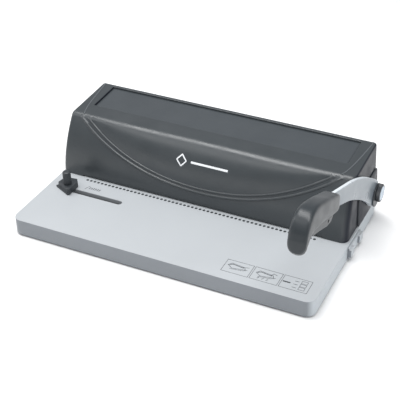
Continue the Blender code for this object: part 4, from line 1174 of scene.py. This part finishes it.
def feet():
    """Turned rubber feet with a shallow recess below."""
    for number in range(1, 5):
        node = f"foot_{number}"
        low, high = node_box(node)
        x, y, _ = node_middle(node)
        radius = (high.x - low.x) / 2
        profile = [(0.0008, low.z + 0.0008), (radius * 0.45, low.z + 0.0008),
                   (radius * 0.5, low.z + 0.0004), (radius * 0.55, low.z), (radius - 0.0012, low.z),
                   (radius - 0.0004, low.z + 0.0003), (radius, low.z + 0.0009), (radius, high.z),
                   (0.0008, high.z)]
        place(turned(profile, (x, y, 0.0), "Z", 48), f"rubber_foot_{number}",
              "foot_rubber", "base", [node])


# ---------------------------------------------------------------- scene

def camera():
    """A long lens from the front right, looking down."""
    azimuth, elevation, distance = math.radians(24.16), math.radians(33.46), 1.083
    target = ORIGIN + Vector((0.0551, 0.1000, 0.0728))
    level = math.cos(elevation)
    back = Vector((math.sin(azimuth) * level, -math.cos(azimuth) * level, math.sin(elevation)))
    data = bpy.data.cameras.new("camera")
    data.sensor_width = 36.0
    data.lens = 88.65
    data.shift_x = -0.09675
    data.shift_y = -0.04425
    obj = bpy.data.objects.new("camera", data)
    obj.location = target + back * distance
    obj.rotation_euler = (math.pi / 2 - elevation, 0.0, azimuth)
    bpy.context.scene.collection.objects.link(obj)
    bpy.context.scene.camera = obj


def softbox(name, place_at, target, size, power, colour=(1.0, 1.0, 1.0)):
    data = bpy.data.lights.new(name, "AREA")
    data.shape = "RECTANGLE"
    data.size, data.size_y = size
    data.energy = power
    data.color = colour
    obj = bpy.data.objects.new(name, data)
    obj.location = place_at
    obj.rotation_euler = (Vector(target) - Vector(place_at)).to_track_quat("-Z", "Y").to_euler()
    bpy.context.scene.collection.objects.link(obj)


def studio():
    """A pale floor, a soft light above, and weaker ones in front, at the left and at the right."""
    floor = slab([(-4, -4), (4, -4), (4, 4), (-4, 4)], -0.02, 0.0)
    floor.name = "floor"
    floor.location = (0.0, 0.0, cad_low.z)
    floor.data.materials.append(FINISHES["floor"])
    middle = (0.0, 0.03, 0.05)
    softbox("overhead", (-0.05, -0.05, 1.35), middle, (2.0, 0.50), 23.0)
    softbox("front_fill", (-0.55, -0.80, 1.20), middle, (1.5, 0.45), 4.0)
    softbox("left_fill", (-1.5, -0.2, 0.8), middle, (0.7, 0.7), 4.5)
    softbox("right_fill", (1.5, -0.2, 0.9), middle, (0.8, 0.8), 5.0, (0.96, 0.98, 1.0))
    world = bpy.data.worlds.new("studio")
    world.use_nodes = True
    background = world.node_tree.nodes["Background"]
    background.inputs["Color"].default_value = (0.97, 0.98, 1.0, 1.0)
    background.inputs["Strength"].default_value = 0.38
    bpy.context.scene.world = world
    bpy.context.scene.view_settings.view_transform = "Standard"
    bpy.context.scene.view_settings.look = "None"


def dress_cad_nodes():
    """Give each CAD node its slot's finish."""
    for part in frame["record"]["subparts"]:
        node = frame["nodes"][part["node"]]
        node.data.materials.clear()
        node.data.materials.append(FINISHES[part["material_slot"]])


FINISHES = make_finishes()
dress_cad_nodes()
tray()
hole_marks()
instruction_boxes()
guide_ticks()
housing()
creases()
top_panel()
side_cover()
front_mark()
lever_arm()
lever_grip()
fixing_knob()
return_springs()
drawer()
edge_guide()
fasteners()
feet()
camera()
studio()
